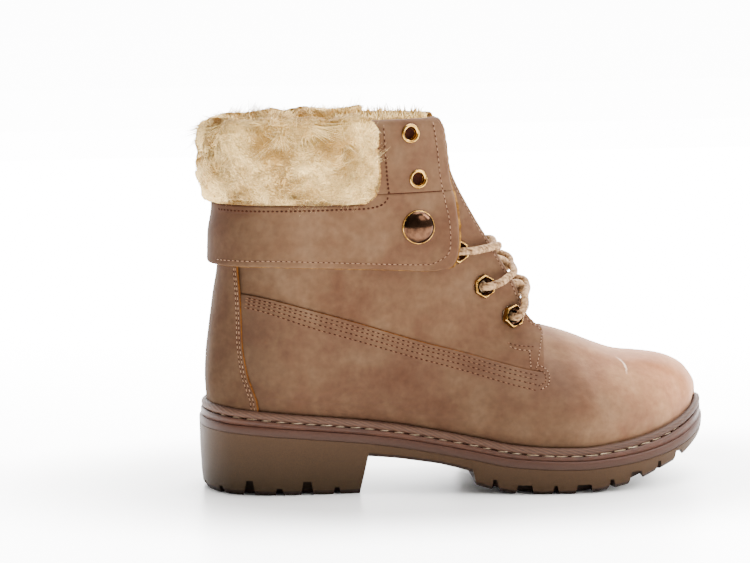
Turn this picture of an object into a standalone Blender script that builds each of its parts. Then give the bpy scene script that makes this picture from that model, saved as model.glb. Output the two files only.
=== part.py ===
"""Biker ankle boot, right foot, women's EU 38: one shoe standing on its sole.

Toe along +X, medial (inner) side along +Y, up along +Z.  Tables are in
millimetres, measured from the back of the heel on the floor.
"""
import math

import bmesh
import bpy
import numpy as np

MM = 0.001
SOLE_LENGTH = 270.0
X_MID = 134.3
Y_MID = -2.0
GAP = 0.3                 # clearance between pieces that touch
WALL = 1.8                # leather of the quarters, below its outer face
PANEL = 1.0               # extra height of the vamp and lower side panel
FACING = 2.3              # extra height of the facings over the vamp
COUNTER_IN = 0.6          # inner and outer face of the back panel, over the last
COUNTER_OUT = 1.8
BAND_THICK = 4.1          # folded leather of the cuff's band and front strips
CUFF_THIN = 3.4           # outer face of the cuff behind the fur
BAND = 4.5                # midsole band
TONGUE = 2.6
LACE = 2.1                # radius of the round lace
FLANGE = 3.1              # height of the welt's inner flange over the rim
RISE = 18.0               # the upper stands upright this far before it bulges
EVEN = 8.0                # reach over which the bulge is evened out

# edge of the sole seen from above, and how far the upper stands inside it
OUTLINE = (
    # x, y, inset
    (0.0, 0.0, 5.6), (4.0, -17.0, 5.8), (14.0, -29.0, 6.2), (32.0, -36.0, 6.4),
    (60.0, -37.5, 6.4), (95.0, -37.0, 6.4), (130.0, -42.0, 6.4), (165.0, -50.0, 6.4),
    (190.0, -52.5, 6.4), (215.0, -50.0, 6.4), (240.0, -40.0, 6.2), (258.0, -25.0, 5.8),
    (267.0, -10.0, 5.3), (270.0, 3.0, 5.0), (266.0, 17.0, 5.3), (256.0, 30.0, 5.8),
    (240.0, 40.5, 6.2), (215.0, 47.0, 6.4), (190.0, 48.5, 6.4), (165.0, 44.0, 6.4),
    (130.0, 34.0, 6.4), (95.0, 31.5, 6.4), (60.0, 35.0, 6.4), (32.0, 35.5, 6.4),
    (14.0, 29.0, 6.2), (4.0, 17.0, 5.8),
)
# top edge of the midsole, and top of the bead above it
RIM = (
    # x, rim height, bead height
    (0.0, 38.3, 8.3), (26.0, 36.8, 7.6), (54.0, 34.4, 7.3), (82.0, 31.5, 7.3),
    (109.0, 27.8, 7.2), (123.0, 25.4, 7.1), (141.0, 22.2, 7.0), (160.0, 18.9, 6.8),
    (178.0, 17.6, 6.5), (197.0, 17.1, 6.5), (217.0, 18.3, 7.0), (238.0, 20.9, 8.0),
    (255.0, 25.0, 8.7), (265.0, 29.4, 8.8), (270.0, 32.8, 8.8),
)
# underside of the outsole
TREAD = (
    # x, height
    (-5.0, 0.0), (82.3, 0.0), (86.8, 19.7), (103.0, 18.2), (123.4, 15.4), (133.6, 13.1),
    (140.2, 11.2), (141.8, 4.5), (150.0, 2.5), (158.0, 1.0), (166.0, 0.0), (198.0, 0.0),
    (205.0, 0.8), (213.0, 1.9), (223.0, 3.6), (231.0, 6.1), (238.0, 8.5), (245.0, 10.7),
    (250.0, 12.2), (259.0, 15.8), (266.0, 20.0), (275.0, 27.0),
)
# gaps between the lugs
GAPS = (
    # x, width at floor, width at roof, roof above tread, runs across
    (25.1, 6.2, 3.2, 8.0, 1), (40.1, 4.2, 2.8, 3.9, 0), (55.0, 6.6, 4.2, 7.4, 1),
    (70.3, 3.8, 2.6, 3.9, 0), (151.6, 4.2, 1.8, 5.6, 0), (167.2, 9.6, 7.2, 5.0, 1),
    (182.7, 3.4, 1.6, 4.7, 0), (198.1, 9.6, 7.2, 4.8, 1), (212.7, 4.4, 1.8, 5.0, 0),
    (226.5, 8.2, 5.4, 5.2, 1), (239.6, 3.6, 1.8, 4.8, 0), (251.8, 5.6, 3.4, 4.4, 1),
)
# small gaps round the back of the heel and the toe: place on the outline
END_GAPS = (
    # y, toe end, width at floor, width at roof, roof above tread
    (-24.5, 0, 3.4, 2.2, 3.8), (-9.0, 0, 3.4, 2.2, 3.8), (9.0, 0, 3.4, 2.2, 3.8),
    (24.5, 0, 3.4, 2.2, 3.8), (-10.0, 1, 4.0, 2.2, 4.2), (15.0, 1, 4.0, 2.2, 4.2),
)
# sections of the last.  Each stands on a plane across the boot, from a low
# or back point to a high or front point: the shaft's lie flat, the toe's are
# upright, and those between fan out round the throat.
SECTIONS = (
    # back x, back z, front x, front z, lateral, medial, mid, back power, front power, ridge y, pinch
    (13.0, 192.3, 134.0, 192.3, 31.5, 31.5, 0.50, 2.45, 2.10, 0.0, 0.0),
    (13.4, 170.0, 137.8, 170.0, 31.5, 31.5, 0.49, 2.45, 2.10, 0.0, 0.0),
    (13.4, 145.0, 148.3, 147.5, 31.5, 31.5, 0.47, 2.45, 2.08, 0.0, 0.03),
    (12.6, 120.0, 161.5, 126.0, 31.6, 31.6, 0.45, 2.52, 2.06, 0.0, 0.08),
    (9.8, 100.0, 169.5, 114.0, 31.9, 31.7, 0.43, 2.70, 2.04, 0.0, 0.13),
    (7.4, 84.7, 174.0, 105.6, 32.4, 32.1, 0.42, 2.80, 2.05, 0.0, 0.17),
    (5.9, 70.0, 176.7, 100.2, 33.1, 32.8, 0.41, 2.85, 2.00, 0.0, 0.20),
    (5.3, 56.0, 178.4, 96.4, 33.7, 33.3, 0.41, 2.88, 2.00, 0.0, 0.23),
    (5.5, 48.0, 179.2, 93.8, 34.0, 33.5, 0.41, 2.88, 2.00, 0.0, 0.25),
    (None, None, 179.8, 91.5, 34.3, 33.6, 0.41, 2.86, 2.00, 0.0, 0.27),
    (8.0, None, 180.3, 89.8, 34.6, 33.7, 0.41, 2.84, 2.00, 0.0, 0.28),
    (13.5, None, 180.7, 88.4, 34.9, 33.8, 0.41, 2.82, 2.00, 0.2, 0.29),
    (23.0, None, 181.0, 87.2, 34.8, 33.4, 0.41, 2.78, 2.00, 0.4, 0.30),
    (41.0, None, 181.2, 86.0, 34.8, 33.0, 0.41, 2.65, 2.00, 0.6, 0.31),
    (68.0, None, 181.3, 84.8, 35.2, 32.8, 0.40, 2.50, 2.00, 0.8, 0.33),
    (98.0, None, 181.3, 83.6, 37.4, 33.8, 0.38, 2.40, 2.00, 1.0, 0.35),
    (128.0, None, 181.3, 82.5, 42.0, 37.4, 0.34, 2.30, 2.00, 1.2, 0.37),
    (154.0, None, 181.2, 81.5, 45.8, 41.2, 0.31, 2.30, 2.00, 1.4, 0.38),
    (172.0, None, 181.4, 80.5, 47.8, 43.6, 0.28, 2.30, 2.00, 1.6, 0.38),
    (184.0, None, 189.0, 78.0, 48.6, 44.8, 0.28, 2.30, 2.02, 1.8, 0.35),
    (196.5, None, 199.4, 74.4, 48.2, 44.8, 0.28, 2.30, 2.05, 2.0, 0.29),
    (209.0, None, 210.8, 70.1, 46.8, 43.8, 0.28, 2.30, 2.10, 2.2, 0.22),
    (222.0, None, 223.2, 66.4, 43.4, 41.6, 0.28, 2.30, 2.15, 2.4, 0.15),
    (234.5, None, 235.2, 64.9, 38.3, 38.2, 0.29, 2.30, 2.20, 2.6, 0.09),
    (245.0, None, 245.2, 63.0, 30.9, 32.4, 0.30, 2.30, 2.22, 2.8, 0.05),
    (253.0, None, 252.9, 60.2, 22.9, 25.8, 0.30, 2.30, 2.20, 3.0, 0.02),
    (258.8, None, 258.6, 56.6, 0.0, 0.0, 0.30, 2.30, 2.15, 3.0, 0.0),
    (262.3, None, 262.2, 52.0, 0.0, 0.0, 0.30, 2.30, 2.10, 3.0, 0.0),
    (264.3, None, 264.4, 47.6, 0.0, 0.0, 0.30, 2.30, 2.10, 3.0, 0.0),
    (None, None, 265.4, 43.4, 0.0, 0.0, 0.30, 2.30, 2.10, 3.0, 0.0),
)
HEEL_ROW = 9
THROAT_ROW = 18
TOE_ROW = len(SECTIONS) - 1
# half of the throat's opening, collar to vamp
THROAT = ((0, 14.0), (2, 12.6), (4, 10.6), (8, 9.0), (13, 8.2), (THROAT_ROW, 7.6), (TOE_ROW, 7.6))
# top edge of the vamp and lower side panel, seen from the side
PANEL_EDGE = (
    # x, z
    (0.0, 106.5), (22.9, 105.0), (34.0, 103.3), (51.9, 98.8), (84.4, 89.3), (116.1, 78.9),
    (139.3, 72.1), (162.3, 65.2), (175.4, 61.9), (200.0, 58.0),
)
# front edge of the back panel
COUNTER_EDGE = ((30.6, 36.0), (30.6, 45.7), (25.5, 63.6), (23.3, 81.9), (22.9, 102.3),
                (21.8, 119.9), (21.6, 130.0))
COUNTER_TOP = 128.0
# the folded cuff: front edge, and its lower edge
CUFF_FRONT = ((125.5, 114.0), (131.8, 118.0), (134.6, 123.0), (135.9, 134.2), (134.6, 153.0),
              (132.3, 161.0), (130.6, 179.0), (128.2, 194.0))
CUFF_LOW = ((0.0, 119.2), (22.0, 119.8), (60.0, 119.0), (99.0, 117.3), (121.0, 115.9),
            (128.0, 117.0), (134.0, 121.3))
BAND_TOP = 151.6          # upper edge of the leather band, under the fur
FUR_FRONT = 92.5          # front edge of the fur
EYELETS = ((165.2, 88.3, 14.0), (150.1, 105.2, 2.0), (135.7, 124.5, 0.0))    # x, z, turn
WASHERS = ((110.6, 187.6), (114.4, 164.0))
SNAP = (113.9, 139.4)


def curve(xs, ys):
    """Smooth curve through a table's points that never overshoots them."""
    xs = np.asarray(xs, float)
    ys = np.asarray(ys, float)
    h = np.diff(xs)
    d = np.diff(ys) / h
    m = np.zeros(len(xs))
    m[0] = d[0]
    m[-1] = d[-1]
    for i in range(1, len(xs) - 1):
        if d[i - 1] * d[i] > 0:
            w1 = 2 * h[i] + h[i - 1]
            w2 = h[i] + 2 * h[i - 1]
            m[i] = (w1 + w2) / (w1 / d[i - 1] + w2 / d[i])

    def at(x):
        x = np.clip(x, xs[0], xs[-1])
        i = np.clip(np.searchsorted(xs, x, side="right") - 1, 0, len(xs) - 2)
        t = (x - xs[i]) / h[i]
        a = (1 + 2 * t) * (1 - t) ** 2
        b = t * (1 - t) ** 2
        c = t * t * (3 - 2 * t)
        e = t * t * (t - 1)
        return a * ys[i] + b * h[i] * m[i] + c * ys[i + 1] + e * h[i] * m[i + 1]
    return at


def columns(table):
    return list(zip(*table))


RIM_AT = curve(columns(RIM)[0], columns(RIM)[1])
BEAD_AT = curve(columns(RIM)[0], columns(RIM)[2])


def tread_at(x):
    return float(np.interp(x, columns(TREAD)[0], columns(TREAD)[1]))


# ---------------------------------------------------------------- outline
def closed_spline(points, steps):
    """Smooth closed curve through a table of rows, steps to each span."""
    p = np.array(points, float)
    n = len(p)
    chord = [math.dist(p[i][:2], p[(i + 1) % n][:2]) for i in range(n)]
    out = []
    for i in range(n):
        a, b = p[i], p[(i + 1) % n]
        h0, h1, h2 = chord[i - 1], chord[i], chord[(i + 1) % n]
        ta = ((a - p[i - 1]) / h0 * h1 + (b - a) / h1 * h0) / (h0 + h1)
        tb = ((b - a) / h1 * h2 + (p[(i + 2) % n] - b) / h2 * h1) / (h1 + h2)
        for k in range(steps):
            t = k / steps
            out.append((1 + 2 * t) * (1 - t) ** 2 * a + t * (1 - t) ** 2 * h1 * ta
                       + t * t * (3 - 2 * t) * b + t * t * (t - 1) * h1 * tb)
    return np.array(out)


def with_normals(ring):
    """Rows of x, y, inset and the unit normal that points inwards."""
    d = np.roll(ring[:, :2], -1, 0) - np.roll(ring[:, :2], 1, 0)
    d /= np.linalg.norm(d, axis=1)[:, None]
    return np.hstack([ring[:, :3], np.stack([-d[:, 1], d[:, 0]], 1)])


FINE = with_normals(closed_spline(OUTLINE, 16))


def coarse_outline():
    """Fewer points, close together where the edge turns, and one at each step
    of the tread."""
    keep = [0]
    cost = 0.0
    for i in range(1, len(FINE)):
        step = math.dist(FINE[i][:2], FINE[i - 1][:2])
        dot = float(np.clip(FINE[i][3:] @ FINE[i - 1][3:], -1, 1))
        cost += step / 18.0 + math.degrees(math.acos(dot)) / 13.5
        if cost >= 1.0 and i < len(FINE) - 4:
            keep.append(i)
            cost = 0.0
    rows = [FINE[i] for i in keep]
    for x in (82.3, 86.8, 140.2, 141.8):
        for i in range(len(FINE)):
            a, b = FINE[i], FINE[(i + 1) % len(FINE)]
            if (a[0] - x) * (b[0] - x) < 0:
                t = (x - a[0]) / (b[0] - a[0])
                rows.append(a + (b - a) * t)
    centre = np.array([135.0, 0.0])
    rows.sort(key=lambda r: sort_angle(r, centre))
    out = []
    for r in rows:
        if out and math.dist(out[-1][:2], r[:2]) < 1.5 and r[0] not in (82.3, 86.8, 140.2, 141.8):
            continue
        out.append(r)
    return np.array(out)


def sort_angle(r, centre):
    a = math.atan2(r[1] - centre[1], r[0] - centre[0])
    return (a - math.pi) % (2 * math.pi)


RING = coarse_outline()


def ring_at(inset, height):
    """Points inside the outline: inset and height are numbers or functions of
    the outline's row."""
    out = []
    for r in RING:
        d = inset(r) if callable(inset) else inset
        z = height(r) if callable(height) else height
        out.append((r[0] + r[3] * d, r[1] + r[4] * d, z))
    return out


# ---------------------------------------------------------------- the last
def feather():
    """The upper's lower edge: half widths on both sides, and height, over x."""
    x = FINE[:, 0] + FINE[:, 3] * FINE[:, 2]
    y = FINE[:, 1] + FINE[:, 4] * FINE[:, 2]
    z = RIM_AT(FINE[:, 0]) + FLANGE + GAP
    back = int(np.argmin(x))
    front = int(np.argmax(x))
    order = np.arange(back, back + len(x)) % len(x)
    turn = int(np.where(order == front)[0][0])
    lat = order[:turn + 1]
    med = np.concatenate([order[turn:], order[:1]])[::-1]
    return x, y, z, lat, med


FX, FY, FZ, LAT, MED = feather()
HEEL_X = float(FX.min())
TOE_X = float(FX.max())


def feather_at(x, side):
    """Side -1 is lateral, 1 medial.  Gives y and z of the lower edge."""
    ids = LAT if side < 0 else MED
    xs = FX[ids]
    keep = np.concatenate([[True], np.diff(xs) > 1e-6])
    return float(np.interp(x, xs[keep], FY[ids][keep])), float(np.interp(x, xs[keep], FZ[ids][keep]))


def section_table():
    rows = []
    for i, row in enumerate(SECTIONS):
        row = list(row)
        if i == HEEL_ROW:
            row[0] = HEEL_X
        if i == TOE_ROW:
            row[0] = TOE_X
        if row[1] is None:
            row[1] = 0.5 * (feather_at(row[0], -1)[1] + feather_at(row[0], 1)[1])
        rows.append(row)
    return [curve(range(len(rows)), c) for c in columns(rows)]


TABLE = section_table()
ARC = 80


def section(s):
    """Points of one section from the lateral lower edge over the ridge to the
    medial lower edge, evenly along each side."""
    bx, bz, tx, tz, wl, wm, mid, nb, nt, ridge, pinch = [float(c(s)) for c in TABLE]
    height = math.hypot(tx - bx, tz - bz)
    ex, ez = (tx - bx) / height, (tz - bz) / height
    sides = []
    for side, wide in ((-1, -wl), (1, wm)):
        if s <= HEEL_ROW:
            foot, fz = ridge, bz
        else:
            foot, fz = feather_at(bx, side)
        reach = abs(foot - ridge)
        width = max(abs(wide - ridge) if wide else 0.0, reach / 0.972)
        c0 = reach / width if width > 1e-9 else 0.972
        phi0 = math.acos(min(1.0, c0 ** (nb / 2)))
        phi = np.linspace(math.pi / 2, -phi0, 241)
        power = np.where(phi >= 0, 2 / nt, 2 / nb)
        cos = np.clip(np.cos(phi), 0, 1) ** power
        sin = np.abs(np.sin(phi)) ** power
        centre = mid * height
        low = centre / (math.sin(phi0) ** (2 / nb))
        p = np.where(phi >= 0, centre + (height - centre) * sin, centre - low * sin)
        y = width * cos * np.where(phi > 0, 1 - pinch * np.sin(phi) ** 2, 1.0)
        drop = (fz - bz) * np.clip(1 - p / max(centre, 1e-6), 0, 1)
        pts = np.stack([bx + ex * p, ridge + side * y, bz + ez * p + drop], 1)
        length = np.concatenate([[0], np.cumsum(np.linalg.norm(np.diff(pts, axis=0), axis=1))])
        u = np.linspace(0, length[-1], ARC + 1)
        sides.append(np.stack([np.interp(u, length, pts[:, k]) for k in range(3)], 1))
    return np.vstack([sides[0][::-1], sides[1][1:]])


STEP = 10
S_GRID = np.linspace(0, TOE_ROW, TOE_ROW * STEP + 1)
SURF = np.array([section(s) for s in S_GRID])


def even_out():
    """Even the bulge between neighbouring sections where the side is broad;
    its edges in the side view stay.  Each point moves to the plane that fits
    its neighbours best."""
    n_s = len(S_GRID)
    for part in (slice(0, ARC + 1), slice(ARC, None)):
        x, y, z = (SURF[:, part, k] for k in range(3))
        ds = np.stack([np.gradient(x, axis=0), np.gradient(z, axis=0)], 2)
        dt = np.stack([np.gradient(x, axis=1), np.gradient(z, axis=1)], 2)
        area = np.abs(ds[:, :, 0] * dt[:, :, 1] - ds[:, :, 1] * dt[:, :, 0])
        near_x, near_z, near_y, near_a = (a[::3, ::3].ravel() for a in (x, z, y, area))
        some = (slice(None, None, 2), slice(None, None, 2))
        qx, qz, qy = (a[some] for a in (x, z, y))
        move = np.zeros(qx.shape)
        for i in range(STEP, len(qx)):
            dx = (near_x[None] - qx[i][:, None]) / EVEN
            dz = (near_z[None] - qz[i][:, None]) / EVEN
            w = np.exp(-0.5 * (dx * dx + dz * dz)) * near_a[None]
            base = (w, w * dx, w * dz)
            left = np.array([[b.sum(1), (b * dx).sum(1), (b * dz).sum(1)] for b in base])
            right = np.array([(b * near_y[None]).sum(1) for b in base])
            fit = np.linalg.solve(np.moveaxis(left, 2, 0) + np.eye(3) * 1e-6, right.T[:, :, None])
            move[i] = fit[:, 0, 0] - qy[i]
        rows = np.stack([np.interp(np.arange(n_s), np.arange(0, n_s, 2), move[:, j])
                         for j in range(move.shape[1])], 1)
        full = np.stack([np.interp(np.arange(ARC + 1), np.arange(0, ARC + 1, 2), r) for r in rows])
        broad = np.clip((np.abs(y) - 10.0) / 12.0, 0, 1)
        broad = broad * broad * (3 - 2 * broad)
        y += full * broad * np.clip((S_GRID - 3) / 2, 0, 1)[:, None]


def stand_upright():
    """Draw the lowest part of the last in to its edge, so that it rises
    straight out of the welt before it bulges."""
    fine = with_normals(closed_spline(OUTLINE, 64))
    edge = fine[:, :2] + fine[:, 3:5] * fine[:, 2:3]
    foot = RIM_AT(fine[:, 0]) + FLANGE + GAP
    flat = SURF.reshape(-1, 3)
    low = np.where(flat[:, 2] < 66)[0]
    for chunk in np.array_split(low, 60):
        pts = flat[chunk]
        near = np.argmin((pts[:, None, 0] - edge[None, :, 0]) ** 2
                         + (pts[:, None, 1] - edge[None, :, 1]) ** 2, axis=1)
        inward = fine[near, 3:5]
        out = -((pts[:, :2] - edge[near]) * inward).sum(1)
        keep = np.clip((pts[:, 2] - foot[near]) / RISE, 0, 1)
        keep = keep * keep * (3 - 2 * keep)
        flat[chunk, :2] += inward * (out * (1 - keep))[:, None]


even_out()
stand_upright()


def surface_normals():
    """Outward normals on the fine grid, closed round the back of the shaft."""
    n_s, n_t = SURF.shape[:2]
    ds = np.gradient(SURF, axis=0)
    dt = np.gradient(SURF, axis=1)
    heel = HEEL_ROW * STEP
    wrap = SURF[:heel + 1, 1] - SURF[:heel + 1, -2]
    dt[:heel + 1, 0] = wrap / 2
    dt[:heel + 1, -1] = wrap / 2
    n = np.cross(ds, dt)
    n[-1] = n[-2]
    size = np.linalg.norm(n, axis=2)
    n /= np.maximum(size, 1e-12)[:, :, None]
    tip = n[-1] + n[-1][::-1]
    n[-1] = tip / np.linalg.norm(tip, axis=1)[:, None]
    if n[0, n_t // 2, 0] < 0:
        n = -n
    return n


NORM = surface_normals()


def at(s, t, off=0.0):
    """Point at section s and place t (-1 lateral edge, 0 ridge, 1 medial edge),
    off millimetres out of the surface."""
    i = min(max(s * STEP, 0), len(S_GRID) - 1.001)
    j = min(max((t + 1) * ARC, 0), 2 * ARC - 0.001)
    i0, j0 = int(i), int(j)
    a, b = i - i0, j - j0
    w = ((1 - a) * (1 - b), a * (1 - b), (1 - a) * b, a * b)
    q = ((i0, j0), (i0 + 1, j0), (i0, j0 + 1), (i0 + 1, j0 + 1))
    p = sum(k * SURF[c] for k, c in zip(w, q))
    n = sum(k * NORM[c] for k, c in zip(w, q))
    return p + n / np.linalg.norm(n) * off


def normal(s, t):
    return at(s, t, 1.0) - at(s, t, 0.0)


def half(side):
    return slice(ARC, None) if side > 0 else slice(0, ARC + 1)


def find(x, z, side, floor_row=0):
    """Section and place of the surface point seen at x, z from one side."""
    block = SURF[:, half(side)]
    d = (block[:, :, 0] - x) ** 2 + (block[:, :, 2] - z) ** 2
    d[:floor_row * STEP] = 1e9
    i, j = np.unravel_index(int(np.argmin(d)), d.shape)
    s, t = i / STEP, (j / ARC if side > 0 else j / ARC - 1)
    for _ in range(8):
        p = at(s, t)
        e = 0.02
        ps = (at(min(s + e, TOE_ROW), t) - at(max(s - e, 0), t)) / (2 * e)
        pt = (at(s, t + e) - at(s, t - e)) / (2 * e)
        m = np.array([[ps[0], pt[0]], [ps[2], pt[2]]])
        if abs(np.linalg.det(m)) < 1e-6:
            break
        step = np.linalg.solve(m, [x - p[0], z - p[2]])
        s = min(max(s + np.clip(step[0], -0.5, 0.5), 0), TOE_ROW)
        t = min(max(t + np.clip(step[1], -0.1, 0.1), -1), 1)
    return s, t


def place_where(s, side, test):
    """First place from the ridge down at which test(point) is true."""
    row = [at(s, side * k / 200) for k in range(201)]
    last = test(row[0])
    for k in range(1, 201):
        now = test(row[k])
        if now >= 0 > last:
            return side * (k - 1 + last / (last - now)) / 200
        last = now
    return None


THROAT_AT = curve(*columns(THROAT))


def throat_edge(s, side):
    ridge = float(TABLE[9](s))
    g = float(THROAT_AT(s))
    found = place_where(s, side, lambda p: abs(p[1] - ridge) - g)
    return found if found is not None else side * 0.1


PANEL_Z = curve(*columns(PANEL_EDGE))


def panel_edge(s, side):
    """Where the panel's top edge crosses a section."""
    s = min(s, THROAT_ROW)
    t = place_where(s, side, lambda p: float(PANEL_Z(p[0])) - p[2])
    back = place_where(s, side, lambda p: 24.0 - p[0])
    if t is None or (back is not None and abs(t) > abs(back)):
        return back if back is not None else side * 0.8
    return t


def panel_level(s, t):
    """Height of the panel over the last: none under the back panel, and none
    behind the welt's bead."""
    p = at(s, t)
    over = p[2] - feather_at(p[0], t)[1]
    return PANEL * min(max((p[0] - 24.0) / 8.0, 0.0), 1.0) * min(max((over - 4.0) / 8.0, 0.0), 1.0)


# ---------------------------------------------------------------- meshes
def rest(p):
    return ((p[0] - X_MID) * MM, (p[1] - Y_MID) * MM, p[2] * MM)


COLOURS = {
    # material: base colour, roughness, metallic
    "nubuck_leather": ((0.36, 0.21, 0.14), 0.75, 0.0),
    "lining_fur": ((0.80, 0.70, 0.50), 0.95, 0.0),
    "sole_rubber": ((0.12, 0.075, 0.045), 0.6, 0.0),
    "midsole_rubber": ((0.22, 0.12, 0.08), 0.55, 0.0),
    "welt_rubber": ((0.21, 0.13, 0.095), 0.6, 0.0),
    "insole_board": ((0.62, 0.50, 0.34), 0.9, 0.0),
    "brass": ((0.80, 0.58, 0.28), 0.3, 1.0),
    "dark_brass": ((0.20, 0.14, 0.09), 0.25, 1.0),
    "cord_braid": ((0.62, 0.52, 0.36), 0.9, 0.0),
}


def material(slot):
    mat = bpy.data.materials.get(slot)
    if mat is None:
        colour, rough, metal = COLOURS[slot]
        mat = bpy.data.materials.new(slot)
        mat.use_nodes = True
        bsdf = mat.node_tree.nodes["Principled BSDF"]
        bsdf.inputs["Base Color"].default_value = colour + (1.0,)
        bsdf.inputs["Roughness"].default_value = rough
        bsdf.inputs["Metallic"].default_value = metal
    return mat


def to_mesh(name, verts, faces):
    """A closed mesh in metres, facing out, corners that repeat left out."""
    bm = bmesh.new()
    vs = [bm.verts.new(rest(p)) for p in verts]
    for f in faces:
        ids = [f[k] for k in range(len(f)) if f[k] != f[k - 1]]
        if len(ids) > 2:
            bm.faces.new([vs[i] for i in ids])
    loose = [v for v in bm.verts if not v.link_faces]
    bmesh.ops.delete(bm, geom=loose, context="VERTS")
    bmesh.ops.recalc_face_normals(bm, faces=bm.faces)
    if bm.calc_volume(signed=True) < 0:
        bmesh.ops.reverse_faces(bm, faces=bm.faces)
    mesh = bpy.data.meshes.new(name)
    bm.to_mesh(mesh)
    bm.free()
    return mesh


def solid(name, slot, verts, faces):
    obj = bpy.data.objects.new(name, to_mesh(name, verts, faces))
    bpy.context.scene.collection.objects.link(obj)
    obj.data.materials.append(material(slot))
    return obj


def split(ids, points):
    """Cut a four-cornered face along its shorter diagonal."""
    if len(ids) == 3:
        return [ids]
    a, b, c, d = ids
    if math.dist(points[a], points[c]) <= math.dist(points[b], points[d]):
        return [[a, b, c], [a, c, d]]
    return [[a, b, d], [b, c, d]]


def thick_sheet(outer, inner, quads):
    """Verts and faces of the solid between two sheets of one layout."""
    n = len(outer)
    verts = list(outer) + list(inner)
    faces = []
    edges = {}
    for q in quads:
        ids = [q[k] for k in range(4) if q[k] != q[k - 1]]
        if len(ids) < 3:
            continue
        for f in split(ids, outer):
            faces.append(f)
            faces.append([i + n for i in reversed(f)])
        for k in range(len(ids)):
            a, b = ids[k - 1], ids[k]
            key = (min(a, b), max(a, b))
            edges.setdefault(key, []).append((a, b))
    for uses in edges.values():
        if len(uses) == 1:
            a, b = uses[0]
            faces.append([b, a, a + n, b + n])
    return verts, faces


def sheet(name, slot, rows, closed=False):
    """Solid between two sheets: rows of (outer, inner) point pairs."""
    wide = len(rows[0])
    outer = [pair[0] for row in rows for pair in row]
    inner = [pair[1] for row in rows for pair in row]
    quads = []
    for i in range(len(rows) - 1):
        for k in range(wide if closed else wide - 1):
            a, b = i * wide + k, i * wide + (k + 1) % wide
            quads.append([a, a + wide, b + wide, b])
    return solid(name, slot, *thick_sheet(outer, inner, quads))


def turned(name, slot, profile, centre, axis, sides, turn=0.0):
    """Ring or disc with a few sides, turned about an axis from its top corner:
    profile rows are (radius, height)."""
    axis = np.asarray(axis, float) / np.linalg.norm(axis)
    e1 = np.array([0.0, 0.0, 1.0]) - axis[2] * axis
    e1 /= np.linalg.norm(e1)
    e2 = np.cross(axis, e1)
    verts, faces = [], []
    solid_disc = profile[0][0] == 0
    for k in range(sides):
        a = 2 * math.pi * k / sides + math.radians(turn)
        for r, h in profile:
            verts.append(centre + (e1 * math.cos(a) + e2 * math.sin(a)) * r + axis * h)
    m = len(profile)
    for k in range(sides):
        j = (k + 1) % sides
        for i in range(m - 1 if solid_disc else m):
            n = (i + 1) % m
            quad = [k * m + i, j * m + i, j * m + n, k * m + n]
            if solid_disc:
                quad = [0 if v % m == 0 else v for v in quad]
                quad = [m - 1 if v % m == m - 1 else v for v in quad]
            faces.append(quad)
    return solid(name, slot, verts, faces)


def boolean(obj, others, operation):
    """Cut or join other solids in, and leave only the result."""
    group = bpy.data.collections.new(obj.name + "_tools")
    for o in others:
        group.objects.link(o)
        for c in list(o.users_collection):
            if c is not group:
                c.objects.unlink(o)
    bpy.context.scene.collection.children.link(group)
    mod = obj.modifiers.new("shape", "BOOLEAN")
    mod.operation = operation
    mod.operand_type = "COLLECTION"
    mod.collection = group
    mod.solver = "EXACT"
    bpy.context.view_layer.update()
    graph = bpy.context.evaluated_depsgraph_get()
    mesh = bpy.data.meshes.new_from_object(obj.evaluated_get(graph))
    obj.modifiers.clear()
    obj.data = mesh
    for o in others:
        bpy.data.objects.remove(o)
    bpy.data.collections.remove(group)
    bm = bmesh.new()
    bm.from_mesh(mesh)
    bmesh.ops.remove_doubles(bm, verts=bm.verts, dist=0.00002)
    bmesh.ops.dissolve_degenerate(bm, dist=0.00002, edges=bm.edges)
    bm.to_mesh(mesh)
    bm.free()


# ---------------------------------------------------------------- sole
def span(ring, ids):
    """Triangles across the sole between its lateral and medial edges."""
    n = len(ring)
    back = min(range(n), key=lambda i: ring[i][0])
    front = max(range(n), key=lambda i: ring[i][0])
    a = [(back + k) % n for k in range((front - back) % n + 1)]
    b = [(back - k) % n for k in range((back - front) % n + 1)]
    i = j = 0
    faces = []
    while i < len(a) - 1 or j < len(b) - 1:
        if j == len(b) - 1 or (i < len(a) - 1 and ring[a[i + 1]][0] <= ring[b[j + 1]][0]):
            faces.append([ids[a[i]], ids[a[i + 1]], ids[b[j]]])
            i += 1
        else:
            faces.append([ids[a[i]], ids[b[j + 1]], ids[b[j]]])
            j += 1
    return [f for f in faces if len(set(f)) == 3]


def stack(rings):
    """Solid from rings of one layout, lowest first, closed across the ends."""
    n = len(rings[0])
    verts = [p for r in rings for p in r]
    faces = []
    for k in range(len(rings) - 1):
        for i in range(n):
            j = (i + 1) % n
            faces.append([k * n + i, k * n + j, (k + 1) * n + j, (k + 1) * n + i])
    plan = [(r[0], r[1]) for r in RING]
    faces += span(plan, list(range(n)))
    faces += [list(reversed(f)) for f in span(plan, [(len(rings) - 1) * n + i for i in range(n)])]
    return verts, faces


def prism(a, b, low, high, z_low, z_high):
    """A bar from plan point a to b, wider at the floor than at its roof."""
    d = np.array([b[0] - a[0], b[1] - a[1]])
    d /= np.linalg.norm(d)
    n = np.array([-d[1], d[0]])
    verts = []
    for q in (a, b):
        for w, z in ((low, z_low), (high, z_high)):
            for sign in (-1, 1):
                verts.append((q[0] + sign * n[0] * w / 2, q[1] + sign * n[1] * w / 2, z))
    faces = [[0, 1, 3, 2], [4, 6, 7, 5], [0, 4, 5, 1], [2, 3, 7, 6], [0, 2, 6, 4], [1, 5, 7, 3]]
    return verts, faces


def outline_row(x, side):
    """The outline's row at x on one side."""
    ids = [i for i in range(len(FINE)) if FINE[i][1] * side > 0]
    return FINE[min(ids, key=lambda i: abs(FINE[i][0] - x))]


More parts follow.
